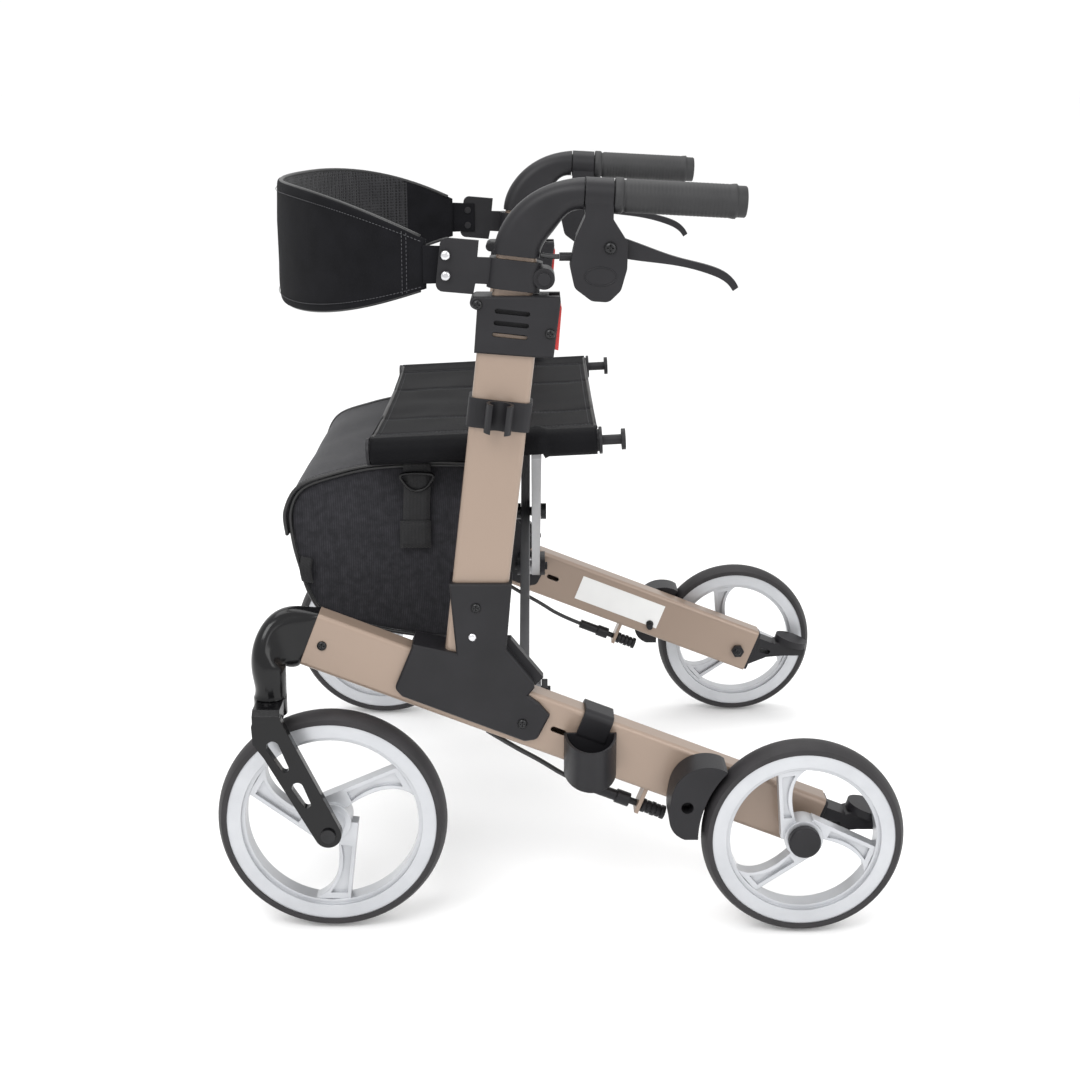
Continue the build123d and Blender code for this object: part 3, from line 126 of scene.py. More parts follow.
def make_finish(name, light, dark, rough, rough_spread=0.06, metallic=0.0, coat=0.0, sheen=0.0, mottle=14.0,
                grain=900.0, grain_depth=0.00004, pattern=None, pitch=0.002, pattern_depth=0.0002,
                hollow_shade=None, round_edges=0.0, specular=0.5, stretch=(1.0, 1.0, 1.0)):
    """Finish that drifts between two tones, with a fine grain and, where named, a weave, mesh or leather
    whose hollows, where a dark colour is given, get painted shade.
    """
    material, nodes, links = blank_material(name)
    shader = nodes["Principled BSDF"]
    shader.inputs["Metallic"].default_value = metallic
    shader.inputs["Coat Weight"].default_value = coat
    shader.inputs["Coat Roughness"].default_value = 0.12
    shader.inputs["Specular IOR Level"].default_value = specular
    if sheen:
        shader.inputs["Sheen Weight"].default_value = sheen
        shader.inputs["Sheen Roughness"].default_value = 0.5
    where = nodes.new("ShaderNodeTexCoord")
    placed = nodes.new("ShaderNodeMapping")
    placed.inputs["Scale"].default_value = stretch
    links.new(where.outputs["Object"], placed.inputs["Vector"])
    point = placed.outputs["Vector"]
    drift = nodes.new("ShaderNodeTexNoise")
    drift.inputs["Scale"].default_value = mottle
    drift.inputs["Detail"].default_value = 4.0
    links.new(point, drift.inputs["Vector"])
    tone = nodes.new("ShaderNodeValToRGB")
    tone.color_ramp.elements[0].position = 0.32
    tone.color_ramp.elements[0].color = (*dark, 1)
    tone.color_ramp.elements[1].position = 0.68
    tone.color_ramp.elements[1].color = (*light, 1)
    links.new(drift.outputs["Fac"], tone.inputs["Fac"])
    colour = tone.outputs["Color"]
    speck = nodes.new("ShaderNodeTexNoise")
    speck.inputs["Scale"].default_value = grain
    speck.inputs["Detail"].default_value = 3.0
    links.new(point, speck.inputs["Vector"])
    spread = nodes.new("ShaderNodeMapRange")
    spread.inputs["To Min"].default_value = max(0.02, rough - rough_spread)
    spread.inputs["To Max"].default_value = min(1.0, rough + rough_spread)
    links.new(speck.outputs["Fac"], spread.inputs["Value"])
    links.new(spread.outputs["Result"], shader.inputs["Roughness"])
    relief = nodes.new("ShaderNodeBump")
    relief.inputs["Strength"].default_value = 1.0
    relief.inputs["Distance"].default_value = grain_depth
    links.new(speck.outputs["Fac"], relief.inputs["Height"])
    if round_edges > 0:
        soft = nodes.new("ShaderNodeBevel")
        soft.samples = 4
        soft.inputs["Radius"].default_value = round_edges
        links.new(soft.outputs["Normal"], relief.inputs["Normal"])
    last = relief
    if pattern:
        height = pattern_height(nodes, links, point, pattern, pitch)
        second = nodes.new("ShaderNodeBump")
        second.inputs["Strength"].default_value = 1.0
        second.inputs["Distance"].default_value = pattern_depth
        links.new(height, second.inputs["Height"])
        links.new(relief.outputs["Normal"], second.inputs["Normal"])
        last = second
        # Painted shade: the pattern's hollows are darkened towards the given colour, following the pattern's
        # height.
        if hollow_shade is not None:
            shade_in_hollows = nodes.new("ShaderNodeMix")
            shade_in_hollows.data_type = "RGBA"
            shade_in_hollows.inputs["A"].default_value = (*hollow_shade, 1)
            links.new(height, shade_in_hollows.inputs["Factor"])
            links.new(colour, shade_in_hollows.inputs["B"])
            colour = shade_in_hollows.outputs["Result"]
    links.new(last.outputs["Normal"], shader.inputs["Normal"])
    links.new(colour, shader.inputs["Base Color"])
    return material


def pattern_height(nodes, links, point, pattern, pitch):
    """Height from 0 to 1 of a repeating pattern: weave, mesh or leather."""
    if pattern == "leather":
        cells = nodes.new("ShaderNodeTexVoronoi")
        cells.feature = "DISTANCE_TO_EDGE"
        cells.inputs["Scale"].default_value = 1 / pitch
        links.new(point, cells.inputs["Vector"])
        rise = nodes.new("ShaderNodeMapRange")
        rise.inputs["From Max"].default_value = 0.22
        links.new(cells.outputs["Distance"], rise.inputs["Value"])
        return rise.outputs["Result"]
    if pattern == "mesh":
        cells = nodes.new("ShaderNodeTexVoronoi")
        cells.inputs["Scale"].default_value = 1 / pitch
        cells.inputs["Randomness"].default_value = 0.12
        links.new(point, cells.inputs["Vector"])
        rise = nodes.new("ShaderNodeMapRange")
        rise.inputs["From Min"].default_value = 0.25
        rise.inputs["From Max"].default_value = 0.5
        links.new(cells.outputs["Distance"], rise.inputs["Value"])
        return rise.outputs["Result"]
    axes = nodes.new("ShaderNodeSeparateXYZ")
    links.new(point, axes.inputs["Vector"])
    ridges = []
    for first, second, phase in (("X", "Z", 0.0), ("Y", "Z", 0.5)):
        total = nodes.new("ShaderNodeMath")
        total.operation = "ADD" if phase == 0 else "SUBTRACT"
        links.new(axes.outputs[first], total.inputs[0])
        links.new(axes.outputs[second], total.inputs[1])
        wide = nodes.new("ShaderNodeMath")
        wide.operation = "MULTIPLY"
        wide.inputs[1].default_value = pi / pitch
        links.new(total.outputs["Value"], wide.inputs[0])
        wave = nodes.new("ShaderNodeMath")
        wave.operation = "SINE"
        links.new(wide.outputs["Value"], wave.inputs[0])
        ridges.append(wave.outputs["Value"])
    crossed = nodes.new("ShaderNodeMath")
    crossed.operation = "MULTIPLY_ADD"
    crossed.inputs[2].default_value = 0.5
    half = nodes.new("ShaderNodeMath")
    half.operation = "MULTIPLY"
    half.inputs[1].default_value = 0.5
    links.new(ridges[0], half.inputs[0])
    links.new(half.outputs["Value"], crossed.inputs[0])
    links.new(ridges[1], crossed.inputs[1])
    return crossed.outputs["Value"]


champagne = make_finish(
    "champagne_paint", (0.288, 0.216, 0.168), (0.270, 0.202, 0.157),
    0.38, 0.08, metallic=0.25, coat=0.25, mottle=3.0, grain=2600.0, grain_depth=0.000015,
    round_edges=0.0012)
charcoal = make_finish(
    "charcoal_moulding", (0.014, 0.0135, 0.0155), (0.010, 0.0097, 0.0112),
    0.44, 0.08, mottle=22.0, specular=0.26, grain=1900.0, grain_depth=0.00006, round_edges=0.0012)
gloss_black = make_finish(
    "polished_black", (0.005, 0.005, 0.0055), (0.0035, 0.0035, 0.004),
    0.17, 0.03, coat=0.06, specular=0.26, mottle=9.0, grain=260.0, grain_depth=0.00003, round_edges=0.0015)
wheel_silver = make_finish(
    "wheel_silver", (0.50, 0.51, 0.53), (0.45, 0.46, 0.48),
    0.33, 0.06, metallic=0.55, coat=0.2, mottle=30.0, grain=2100.0, grain_depth=0.00003,
    round_edges=0.0012)
tyre_rubber = make_finish(
    "tyre_rubber", (0.024, 0.022, 0.024), (0.017, 0.016, 0.017),
    0.56, 0.1, specular=0.35, mottle=40.0, grain=1300.0, grain_depth=0.00007, round_edges=0.0008)
brace_metal = make_finish(
    "brace_metal", (0.36, 0.36, 0.37), (0.31, 0.31, 0.32),
    0.34, 0.08, metallic=0.85, mottle=16.0, grain=700.0, grain_depth=0.00001, round_edges=0.0012,
    stretch=(1.0, 0.12, 0.12))
bright_steel = make_finish(
    "bright_steel", (0.64, 0.64, 0.66), (0.55, 0.55, 0.57),
    0.24, 0.06, metallic=1.0, mottle=60.0, grain=1500.0, grain_depth=0.00001)
black_screw = make_finish(
    "black_screw", (0.018, 0.018, 0.019), (0.012, 0.012, 0.013),
    0.28, 0.06, metallic=0.5, mottle=80.0, grain=2500.0, grain_depth=0.00001)
seat_vinyl = make_finish(
    "seat_vinyl", (0.006, 0.006, 0.007), (0.0042, 0.0042, 0.005),
    0.55, 0.07, specular=0.06, mottle=18.0, grain=1500.0, grain_depth=0.00003, pattern="leather",
    pitch=0.0022, pattern_depth=0.00009)
# The bag cloth's weave hollows carry painted shade.
bag_cloth = make_finish(
    "bag_cloth", (0.032, 0.031, 0.037), (0.012, 0.012, 0.015),
    0.8, 0.08, sheen=0.12, mottle=150.0, grain=1800.0, grain_depth=0.00008, pattern="weave", pitch=0.0011,
    pattern_depth=0.0002, hollow_shade=(0.009, 0.009, 0.011), specular=0.2)
smooth_cloth = make_finish(
    "stretch_cloth", (0.007, 0.007, 0.0085), (0.005, 0.005, 0.006),
    0.85, 0.06, mottle=50.0, grain=2400.0, grain_depth=0.00006, pattern="weave", pitch=0.0007,
    pattern_depth=0.00006, specular=0.1)
# The spacer mesh's holes carry painted shade.
spacer_mesh = make_finish(
    "spacer_mesh", (0.026, 0.026, 0.028), (0.018, 0.018, 0.020),
    0.78, 0.08, sheen=0.1, mottle=60.0, grain=1800.0, grain_depth=0.00006, pattern="mesh", pitch=0.0034,
    pattern_depth=0.0006, hollow_shade=(0.003, 0.003, 0.0035), specular=0.2)
piping_vinyl = make_finish(
    "piping_vinyl", (0.008, 0.008, 0.0085), (0.006, 0.006, 0.0065),
    0.42, 0.06, mottle=60.0, grain=1600.0, grain_depth=0.00004)
# The webbing's weave hollows carry painted shade.
webbing = make_finish(
    "webbing", (0.014, 0.014, 0.015), (0.010, 0.010, 0.011),
    0.7, 0.08, sheen=0.08, mottle=60.0, grain=1800.0, grain_depth=0.00005, pattern="weave", pitch=0.0018,
    pattern_depth=0.0003, hollow_shade=(0.008, 0.008, 0.009), specular=0.3)
stitch_thread = make_finish(
    "stitch_thread", (0.05, 0.05, 0.055), (0.035, 0.035, 0.04),
    0.6, 0.1, mottle=300.0, grain=3000.0, grain_depth=0.00002)
grip_rubber = make_finish(
    "grip_rubber", (0.014, 0.014, 0.015), (0.010, 0.010, 0.011),
    0.6, 0.08, mottle=40.0, grain=2200.0, grain_depth=0.00009)
red_moulding = make_finish(
    "red_moulding", (0.55, 0.022, 0.018), (0.47, 0.016, 0.014),
    0.3, 0.05, coat=0.2, mottle=20.0, grain=1200.0, grain_depth=0.00002, round_edges=0.001)
cable_sheath = make_finish(
    "cable_sheath", (0.018, 0.018, 0.019), (0.012, 0.012, 0.013),
    0.4, 0.06, mottle=60.0, grain=1500.0, grain_depth=0.00002)
blank_label = make_finish(
    "blank_label", (0.78, 0.78, 0.77), (0.74, 0.74, 0.73),
    0.38, 0.05, mottle=30.0, grain=900.0, grain_depth=0.00001)

CAD_FINISHES = {
    "lower_tube": champagne, "upright": champagne, "handle_stem": champagne,
    "elbow": gloss_black, "fork": gloss_black,
    "bracket": charcoal, "latch_housing": charcoal, "pedal": charcoal, "backrest_clamp": charcoal,
    "brake_housing": charcoal, "brake_lever": charcoal, "handle_bend": charcoal, "brake_arm": charcoal,
    "cable_adjuster": charcoal, "cane_cup": charcoal, "cane_clip": charcoal, "height_lever": red_moulding,
    "rear_axle": charcoal, "front_axle": black_screw, "front_rim": wheel_silver, "rear_rim": wheel_silver,
    "front_tyre": tyre_rubber, "rear_tyre": tyre_rubber,
    "cross_arm_front": brace_metal, "cross_arm_rear": brace_metal,
    "cross_bolt": black_screw, "seat_tube": charcoal, "grip": grip_rubber, "lower_cable": cable_sheath,
    "upper_cable": cable_sheath, "seat": seat_vinyl, "bag": bag_cloth, "backrest": smooth_cloth,
}
for node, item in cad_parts.items():
    finish = CAD_FINISHES[node.removeprefix("left_").removeprefix("right_")]
    item.data.materials.clear()
    item.data.materials.append(finish)


# ---- making pieces ----

THINNEST = 1e-5
BOX_FACES = [(0, 1, 2, 3), (4, 5, 6, 7), (0, 1, 5, 4), (1, 2, 6, 5), (2, 3, 7, 6), (3, 0, 4, 7)]


def piece_from(name, points, faces, material, smooth=True):
    """Mesh object at the origin from points in the row frame, with its faces turned outwards."""
    mesh = bpy.data.meshes.new(name)
    mesh.from_pydata([tuple(p) for p in points], [], faces)
    work = bmesh.new()
    work.from_mesh(mesh)
    bmesh.ops.remove_doubles(work, verts=work.verts, dist=1e-6)
    bmesh.ops.recalc_face_normals(work, faces=work.faces)
    work.to_mesh(mesh)
    work.free()
    mesh.materials.append(material)
    item = bpy.data.objects.new(name, mesh)
    bpy.context.scene.collection.objects.link(item)
    mesh.polygons.foreach_set("use_smooth", [smooth] * len(mesh.polygons))
    return item


def loft(name, sections, material, closed_ends=True, ring=False, smooth=True):
    """Skin over matching closed sections; ring joins the last section to the first."""
    count = len(sections[0])
    points = [p for section in sections for p in section]
    faces = []
    pairs = len(sections) if ring else len(sections) - 1
    for i in range(pairs):
        a, b = i * count, ((i + 1) % len(sections)) * count
        for j in range(count):
            k = (j + 1) % count
            faces.append((a + j, a + k, b + k, b + j))
    if closed_ends and not ring:
        for i in (0, len(sections) - 1):
            middle = sum((Vector(p) for p in sections[i]), Vector()) / count
            points.append(middle)
            for j in range(count):
                faces.append((i * count + j, i * count + (j + 1) % count, len(points) - 1))
    return piece_from(name, points, faces, material, smooth)


def circle(centre, side, other, radius, segments):
    """Points round a centre, from the side direction towards the other."""
    turns = [2 * pi * k / segments for k in range(segments)]
    return [centre + (side * cos(turn) + other * sin(turn)) * radius for turn in turns]


def turned(name, start, axis, profile, material, segments=48, ring=False):
    """Piece of revolution from (along, radius) pairs in metres; ring joins the profile's two ends."""
    axis = Vector(axis).normalized()
    side = axis.orthogonal().normalized()
    other = axis.cross(side)
    sections = [circle(Vector(start) + axis * along, side, other, max(radius, THINNEST), segments)
                for along, radius in profile]
    return loft(name, sections, material, closed_ends=not ring, ring=ring)


def smooth_line(points, steps=8, closed=False):
    """Catmull-Rom line through points, with steps points on each stretch."""
    points = [Vector(p) for p in points]
    count = len(points)
    line = []
    for i in range(count if closed else count - 1):
        if closed:
            p0, p1, p2, p3 = (points[(i + k - 1) % count] for k in range(4))
        else:
            p0, p1, p2, p3 = points[max(i - 1, 0)], points[i], points[i + 1], points[min(i + 2, count - 1)]
        for step in range(steps):
            t = step / steps
            line.append(0.5 * (2 * p1 + (p2 - p0) * t + (2 * p0 - 5 * p1 + 4 * p2 - p3) * t * t
                               + (3 * p1 - 3 * p2 + p3 - p0) * t ** 3))
    if not closed:
        line.append(points[-1])
    return line


def rod_along(name, line, radius, material, closed=False, segments=10):
    """Round rod of one radius along a line, with no twist."""
    line = [Vector(p) for p in line]
    count = len(line)
    normal = None
    sections = []
    for i, centre in enumerate(line):
        before = line[i - 1] if i or closed else line[i]
        after = line[(i + 1) % count] if i < count - 1 or closed else line[i]
        tangent = (after - before).normalized()
        if normal is None:
            normal = tangent.orthogonal().normalized()
        normal = (normal - tangent * normal.dot(tangent)).normalized()
        other = tangent.cross(normal)
        sections.append(circle(centre, normal, other, radius, segments))
    return loft(name, sections, material, ring=closed)


def plate(name, outline, thickness, direction, material, bevel=0.0006, smooth=False):
    """Flat plate: an outline of points, thickened along direction, with its edges rounded."""
    push = Vector(direction).normalized() * thickness
    sections = [[Vector(p) for p in outline], [Vector(p) + push for p in outline]]
    item = loft(name, sections, material, smooth=smooth)
    round_off(item, bevel)
    return item


def round_off(item, width, segments=2):
    """Rounds an item's sharp edges in its own mesh."""
    if width <= 0:
        return
    bevel = item.modifiers.new("round_off", "BEVEL")
    bevel.width = width
    bevel.segments = segments
    bevel.limit_method = "ANGLE"
    bevel.angle_limit = radians(40)
    settle_modifiers(item)


def settle_modifiers(item):
    """Puts what an item's modifiers make into its mesh and removes them."""
    bpy.context.view_layer.update()
    result = bpy.data.meshes.new_from_object(item.evaluated_get(bpy.context.evaluated_depsgraph_get()))
    old = item.data
    item.modifiers.clear()
    item.data = result
    bpy.data.meshes.remove(old)


def joined(name, items):
    """One piece from several."""
    work = bmesh.new()
    materials = []
    for item in items:
        start = len(materials)
        materials.extend(item.data.materials)
        before = len(work.faces)
        work.from_mesh(item.data)
        work.faces.ensure_lookup_table()
        for face in work.faces[before:]:
            face.material_index += start
    mesh = bpy.data.meshes.new(name)
    work.to_mesh(mesh)
    work.free()
    for material in materials:
        mesh.materials.append(material)
    for item in items:
        bpy.data.objects.remove(item)
    result = bpy.data.objects.new(name, mesh)
    bpy.context.scene.collection.objects.link(result)
    return result


# ---- repeated pieces, placed by Geometry Nodes ----

def open_tree(name, sockets):
    tree = bpy.data.node_groups.new(name, "GeometryNodeTree")
    tree.interface.new_socket("Geometry", in_out="INPUT", socket_type="NodeSocketGeometry")
    for label, kind in sockets:
        tree.interface.new_socket(label, in_out="INPUT", socket_type=kind)
    tree.interface.new_socket("Geometry", in_out="OUTPUT", socket_type="NodeSocketGeometry")
    return tree, tree.nodes.new("NodeGroupInput"), tree.nodes.new("NodeGroupOutput")


def fastener_tree():
    """Sets one copy of a head on every point, turned to the point's own facing."""
    tree, inlet, outlet = open_tree("set_fasteners", [
        ("Head", "NodeSocketObject"), ("Head size", "NodeSocketFloat"), ("Finish", "NodeSocketMaterial")])
    head = tree.nodes.new("GeometryNodeObjectInfo")
    facing = tree.nodes.new("GeometryNodeInputNamedAttribute")
    facing.data_type = "FLOAT_VECTOR"
    facing.inputs["Name"].default_value = "facing"
    turn = tree.nodes.new("FunctionNodeAlignRotationToVector")
    turn.axis = "Z"
    place = tree.nodes.new("GeometryNodeInstanceOnPoints")
    real = tree.nodes.new("GeometryNodeRealizeInstances")
    paint = tree.nodes.new("GeometryNodeSetMaterial")
    link = tree.links.new
    link(inlet.outputs["Head"], head.inputs["Object"])
    link(facing.outputs["Attribute"], turn.inputs["Vector"])
    link(inlet.outputs["Geometry"], place.inputs["Points"])
    link(head.outputs["Geometry"], place.inputs["Instance"])
    link(turn.outputs["Rotation"], place.inputs["Rotation"])
    link(inlet.outputs["Head size"], place.inputs["Scale"])
    link(place.outputs["Instances"], real.inputs["Geometry"])
    link(real.outputs["Geometry"], paint.inputs["Geometry"])
    link(inlet.outputs["Finish"], paint.inputs["Material"])
    link(paint.outputs["Geometry"], outlet.inputs["Geometry"])
    return tree


def stitch_tree():
    """Lays short stitches, end to end with small gaps, along the edges of a line."""
    tree, inlet, outlet = open_tree("sew_stitches", [
        ("Spacing", "NodeSocketFloat"), ("Length", "NodeSocketFloat"), ("Thickness", "NodeSocketFloat"),
        ("Thread", "NodeSocketMaterial")])
    line = tree.nodes.new("GeometryNodeMeshToCurve")
    spaced = tree.nodes.new("GeometryNodeResampleCurve")
    spaced.mode = "LENGTH"
    tangent = tree.nodes.new("GeometryNodeInputTangent")
    turn = tree.nodes.new("FunctionNodeAlignRotationToVector")
    turn.axis = "Z"
    bead = tree.nodes.new("GeometryNodeMeshUVSphere")
    bead.inputs["Segments"].default_value = 6
    bead.inputs["Rings"].default_value = 5
    bead.inputs["Radius"].default_value = 0.5
    size = tree.nodes.new("ShaderNodeCombineXYZ")
    place = tree.nodes.new("GeometryNodeInstanceOnPoints")
    real = tree.nodes.new("GeometryNodeRealizeInstances")
    paint = tree.nodes.new("GeometryNodeSetMaterial")
    link = tree.links.new
    link(inlet.outputs["Geometry"], line.inputs["Mesh"])
    link(line.outputs["Curve"], spaced.inputs["Curve"])
    link(inlet.outputs["Spacing"], spaced.inputs["Length"])
    link(tangent.outputs["Tangent"], turn.inputs["Vector"])
    link(spaced.outputs["Curve"], place.inputs["Points"])
    link(bead.outputs["Mesh"], place.inputs["Instance"])
    link(turn.outputs["Rotation"], place.inputs["Rotation"])
    link(inlet.outputs["Thickness"], size.inputs["X"])
    link(inlet.outputs["Thickness"], size.inputs["Y"])
    link(inlet.outputs["Length"], size.inputs["Z"])
    link(size.outputs["Vector"], place.inputs["Scale"])
    link(place.outputs["Instances"], real.inputs["Geometry"])
    link(real.outputs["Geometry"], paint.inputs["Geometry"])
    link(inlet.outputs["Thread"], paint.inputs["Material"])
    link(paint.outputs["Geometry"], outlet.inputs["Geometry"])
    return tree


def grow(name, tree, points, edges, settings, facing=None):
    """Runs a tree on loose points or lines, with its named inputs set, and keeps the result as a mesh."""
    mesh = bpy.data.meshes.new(name)
    mesh.from_pydata([tuple(p) for p in points], edges, [])
    if facing is not None:
        attribute = mesh.attributes.new("facing", "FLOAT_VECTOR", "POINT")
        attribute.data.foreach_set("vector", [value for one in facing for value in one])
    item = bpy.data.objects.new(name, mesh)
    bpy.context.scene.collection.objects.link(item)
    modifier = item.modifiers.new("grow", "NODES")
    modifier.node_group = tree
    for socket in tree.interface.items_tree:
        if socket.in_out == "INPUT" and socket.name in settings:
            modifier[socket.identifier] = settings[socket.name]
    settle_modifiers(item)
    item.data.polygons.foreach_set("use_smooth", [True] * len(item.data.polygons))
    return item


SET_FASTENERS = fastener_tree()
SEW_STITCHES = stitch_tree()


def screw_head(name, radius, height, recess):
    """Domed head with a cross recess, standing on z = 0."""
    profile = [(-0.0006, radius * 0.9), (0, radius), (height * 0.35, radius), (height * 0.75, radius * 0.86),
               (height, radius * 0.55), (height, radius * 0.3)]
    head = turned(name, (0, 0, 0), (0, 0, 1), profile, black_screw, segments=24)
    if recess > 0:
        slot = [(x * recess, y * recess / 5) for x, y in ((-1, -1), (1, -1), (1, 1), (-1, 1))]
        for angle in (0, pi / 2):
            turn = Matrix.Rotation(angle, 3, "Z")
            corners = [turn @ Vector((x, y, z)) for z in (height * 0.35, height * 2) for x, y in slot]
            cutter = piece_from("recess_cutter", corners, BOX_FACES, black_screw)
            cut = head.modifiers.new("recess", "BOOLEAN")
            cut.object = cutter
            cut.solver = "EXACT"
            settle_modifiers(head)
            bpy.data.objects.remove(cutter)
    return head


pan_head = screw_head("pan_head", 1.0, 0.55, 0.55)
dome_head = screw_head("dome_head", 1.0, 0.6, 0.0)


def fasten(name, head, size, finish, places, body):
    """Screws or rivets at (point, facing) places, as one piece on one body."""
    item = grow(name, SET_FASTENERS, [p for p, _ in places], [],
                {"Head": head, "Head size": size, "Finish": finish}, [tuple(f) for _, f in places])
    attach(item, body)
    return item


def sew(name, lines, spacing=0.0036, length=0.0028, thickness=0.0007, closed=False):
    """Stitches along lines of points, as one piece."""
    points, edges = [], []
    for line in lines:
        start = len(points)
        points.extend(line)
        edges.extend((start + i, start + i + 1) for i in range(len(line) - 1))
        if closed:
            edges.append((len(points) - 1, start))
    return grow(name, SEW_STITCHES, points, edges,
                {"Spacing": spacing, "Length": length, "Thickness": thickness, "Thread": stitch_thread})


# ---- camera, light and floor ----

camera_data = bpy.data.cameras.new("camera")
camera_data.lens = 52.4333
camera_data.sensor_width = 36
camera_data.shift_y = -0.10
camera = bpy.data.objects.new("camera", camera_data)
bpy.context.scene.collection.objects.link(camera)
bpy.context.scene.camera = camera
yaw, pitch, roll = radians(0.21), radians(12.86), radians(0.08)
view_line = Vector((-sin(yaw) * cos(pitch), -cos(yaw) * cos(pitch), -sin(pitch)))
camera.location = spot(265, 1708, 834)
level_view = view_line.to_track_quat("-Z", "Y").to_matrix()
camera.rotation_euler = (level_view @ Matrix.Rotation(roll, 3, "Z")).to_euler()

bpy.context.scene.view_settings.view_transform = "Standard"
world = bpy.data.worlds.new("studio")
bpy.context.scene.world = world
world.use_nodes = True
world.node_tree.nodes["Background"].inputs["Color"].default_value = (1.0, 1.0, 1.0, 1)
world.node_tree.nodes["Background"].inputs["Strength"].default_value = 1.03


def softbox(name, place, target, width, height, power):
    """Soft rectangular lamp at a place, facing a target, in metres and watts."""
    lamp = bpy.data.lights.new(name, "AREA")
    lamp.shape = "RECTANGLE"
    lamp.size, lamp.size_y, lamp.energy = width, height, power
    item = bpy.data.objects.new(name, lamp)
    bpy.context.scene.collection.objects.link(item)
    item.location = place
    item.rotation_euler = (Vector(target) - Vector(place)).to_track_quat("-Z", "Y").to_euler()


softbox("key_softbox", (0.9, 1.9, 2.3), (0, 0, 0.4), width=1.6, height=1.2, power=38)
softbox("fill_softbox", (-1.6, 1.7, 1.5), (0, 0, 0.4), width=1.2, height=1.6, power=18)
softbox("top_softbox", (0.1, -0.5, 2.6), (0, 0, 0.3), width=2.2, height=1.6, power=26)

FLOOR_REACH = 60
FLOOR_DROP = 0.0005
floor_finish = make_finish("studio_floor", (0.86, 0.86, 0.86), (0.85, 0.85, 0.85), 0.6, 0.03, mottle=0.6,
                           grain=40.0, grain_depth=0.00001)
floor_corners = [(x, y, -FLOOR_DROP) for x, y in (
    (-FLOOR_REACH, -FLOOR_REACH), (FLOOR_REACH, -FLOOR_REACH),
    (FLOOR_REACH, FLOOR_REACH), (-FLOOR_REACH, FLOOR_REACH))]
floor = piece_from("studio_floor", floor_corners, [(0, 1, 2, 3)], floor_finish)
floor_shader = floor_finish.node_tree.nodes["Principled BSDF"]
floor_shader.inputs["Emission Color"].default_value = (1, 1, 1, 1)
floor_shader.inputs["Emission Strength"].default_value = 0.12


# ---- seat: sling of coated cloth round the two seat tubes ----

SEAT_LENGTH = 224.0
SEAT_FIRST_ROW = 1.0
SEAT_ROWS = 56
SEAT_COLUMNS = 96
SLEEVE_STEPS = 19
SLEEVE_STEP = 12.6
OPEN_SLEEVE_STEP = 13.0
SLEEVE_OUTSIDE = 13.7
SEAT_THICKNESS = 2.6
SEAT_SAG = 9.0
CHANNELS = (168.0, 78.0)
CHANNEL_DEPTH = 1.6
ARM_HEAD_RISE = 3.6
SKIN = 1.1


def seat_top(y, along):
    """Height of the seat's upper face above the tubes' axis, in millimetres."""
    across = 1 - (y / SEAT_TUBE_Y) ** 2
    edge = min(along, SEAT_LENGTH - along) / 26.0
    curl = max(0.0, 1 - edge) ** 2
    ripple = noise.noise(Vector((y * 0.018, along * 0.02, 3.0))) * 1.6
    channel = sum(-CHANNEL_DEPTH / (1 + ((abs(y) - seam) / 2.4) ** 2) for seam in CHANNELS)
    return SLEEVE_OUTSIDE - SEAT_SAG * across ** 0.7 + curl * 1.5 * across + ripple * across + channel


def arm_swell(along):
    """1 where the sling passes over the cross arms' heads, falling to 0 on both sides of them."""
    arm_low, arm_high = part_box("cross_arm_front")
    off = abs(along_seat_tube(along, 0).x - (arm_low.x + arm_high.x) / 2)
    return min(max(((arm_high.x - arm_low.x) / 2 + 0.005 - off) / 0.004, 0.0), 1.0)


def sleeve_turn(open_below, reach):
    """The sleeve's (radius, degrees) round a tube: all the way round, or one skin out and back."""
    if not open_below:
        return [(reach, 90 - SLEEVE_STEP * k) for k in range(1, SLEEVE_STEPS + 1)]
    outward = [(reach, 90 - OPEN_SLEEVE_STEP * k) for k in range(1, 10)]
    return outward + [(reach - SKIN, OPEN_SLEEVE_STEP * k - 157) for k in range(10, SLEEVE_STEPS + 1)]


def seat_row(along):
    """Closed section of the sling: the upper face, one sleeve, the lower face and the other sleeve."""
    swell = arm_swell(along)
    reach = SLEEVE_OUTSIDE + ARM_HEAD_RISE * swell
    open_below = swell == 1.0
    thickness = SKIN if open_below else SEAT_THICKNESS
    sleeve = [(r * cos(radians(a)), r * sin(radians(a))) for r, a in sleeve_turn(open_below, reach)]
    inner_y, inner_z = SEAT_TUBE_Y + sleeve[-1][0], sleeve[-1][1]
    columns = [-SEAT_TUBE_Y + 2 * SEAT_TUBE_Y * k / SEAT_COLUMNS for k in range(SEAT_COLUMNS + 1)]

    def top(y):
        over = reach ** 2 - (SEAT_TUBE_Y - abs(y)) ** 2
        if swell > 0 and over > 0:
            return max(seat_top(y, along), sqrt(over))
        return seat_top(y, along)

    row = [along_seat_tube(along, y, top(y)) for y in columns]
    row += [along_seat_tube(along, SEAT_TUBE_Y + out, up) for out, up in sleeve]
    for k in range(SEAT_COLUMNS - 1, 0, -1):
        y = columns[k]
        if open_below or abs(y) < inner_y - 2:
            row.append(along_seat_tube(along, y, top(y) - thickness))
        else:
            rise = (SEAT_COLUMNS - k if y > 0 else k) * 0.4
            row.append(along_seat_tube(along, (inner_y - 1) * (1 if y > 0 else -1), inner_z + rise))
    row += [along_seat_tube(along, -SEAT_TUBE_Y - out, up) for out, up in reversed(sleeve)]
    return row


def seat_line(points, lift):
    """Line on the sling's upper face through (along, y) places."""
    return [along_seat_tube(along, y, seat_top(y, along) + lift) for along, y in points]


def bend_with_brace(item):
    """The sling and what is sewn to it keep their place, put into their own meshes."""
    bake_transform(item)


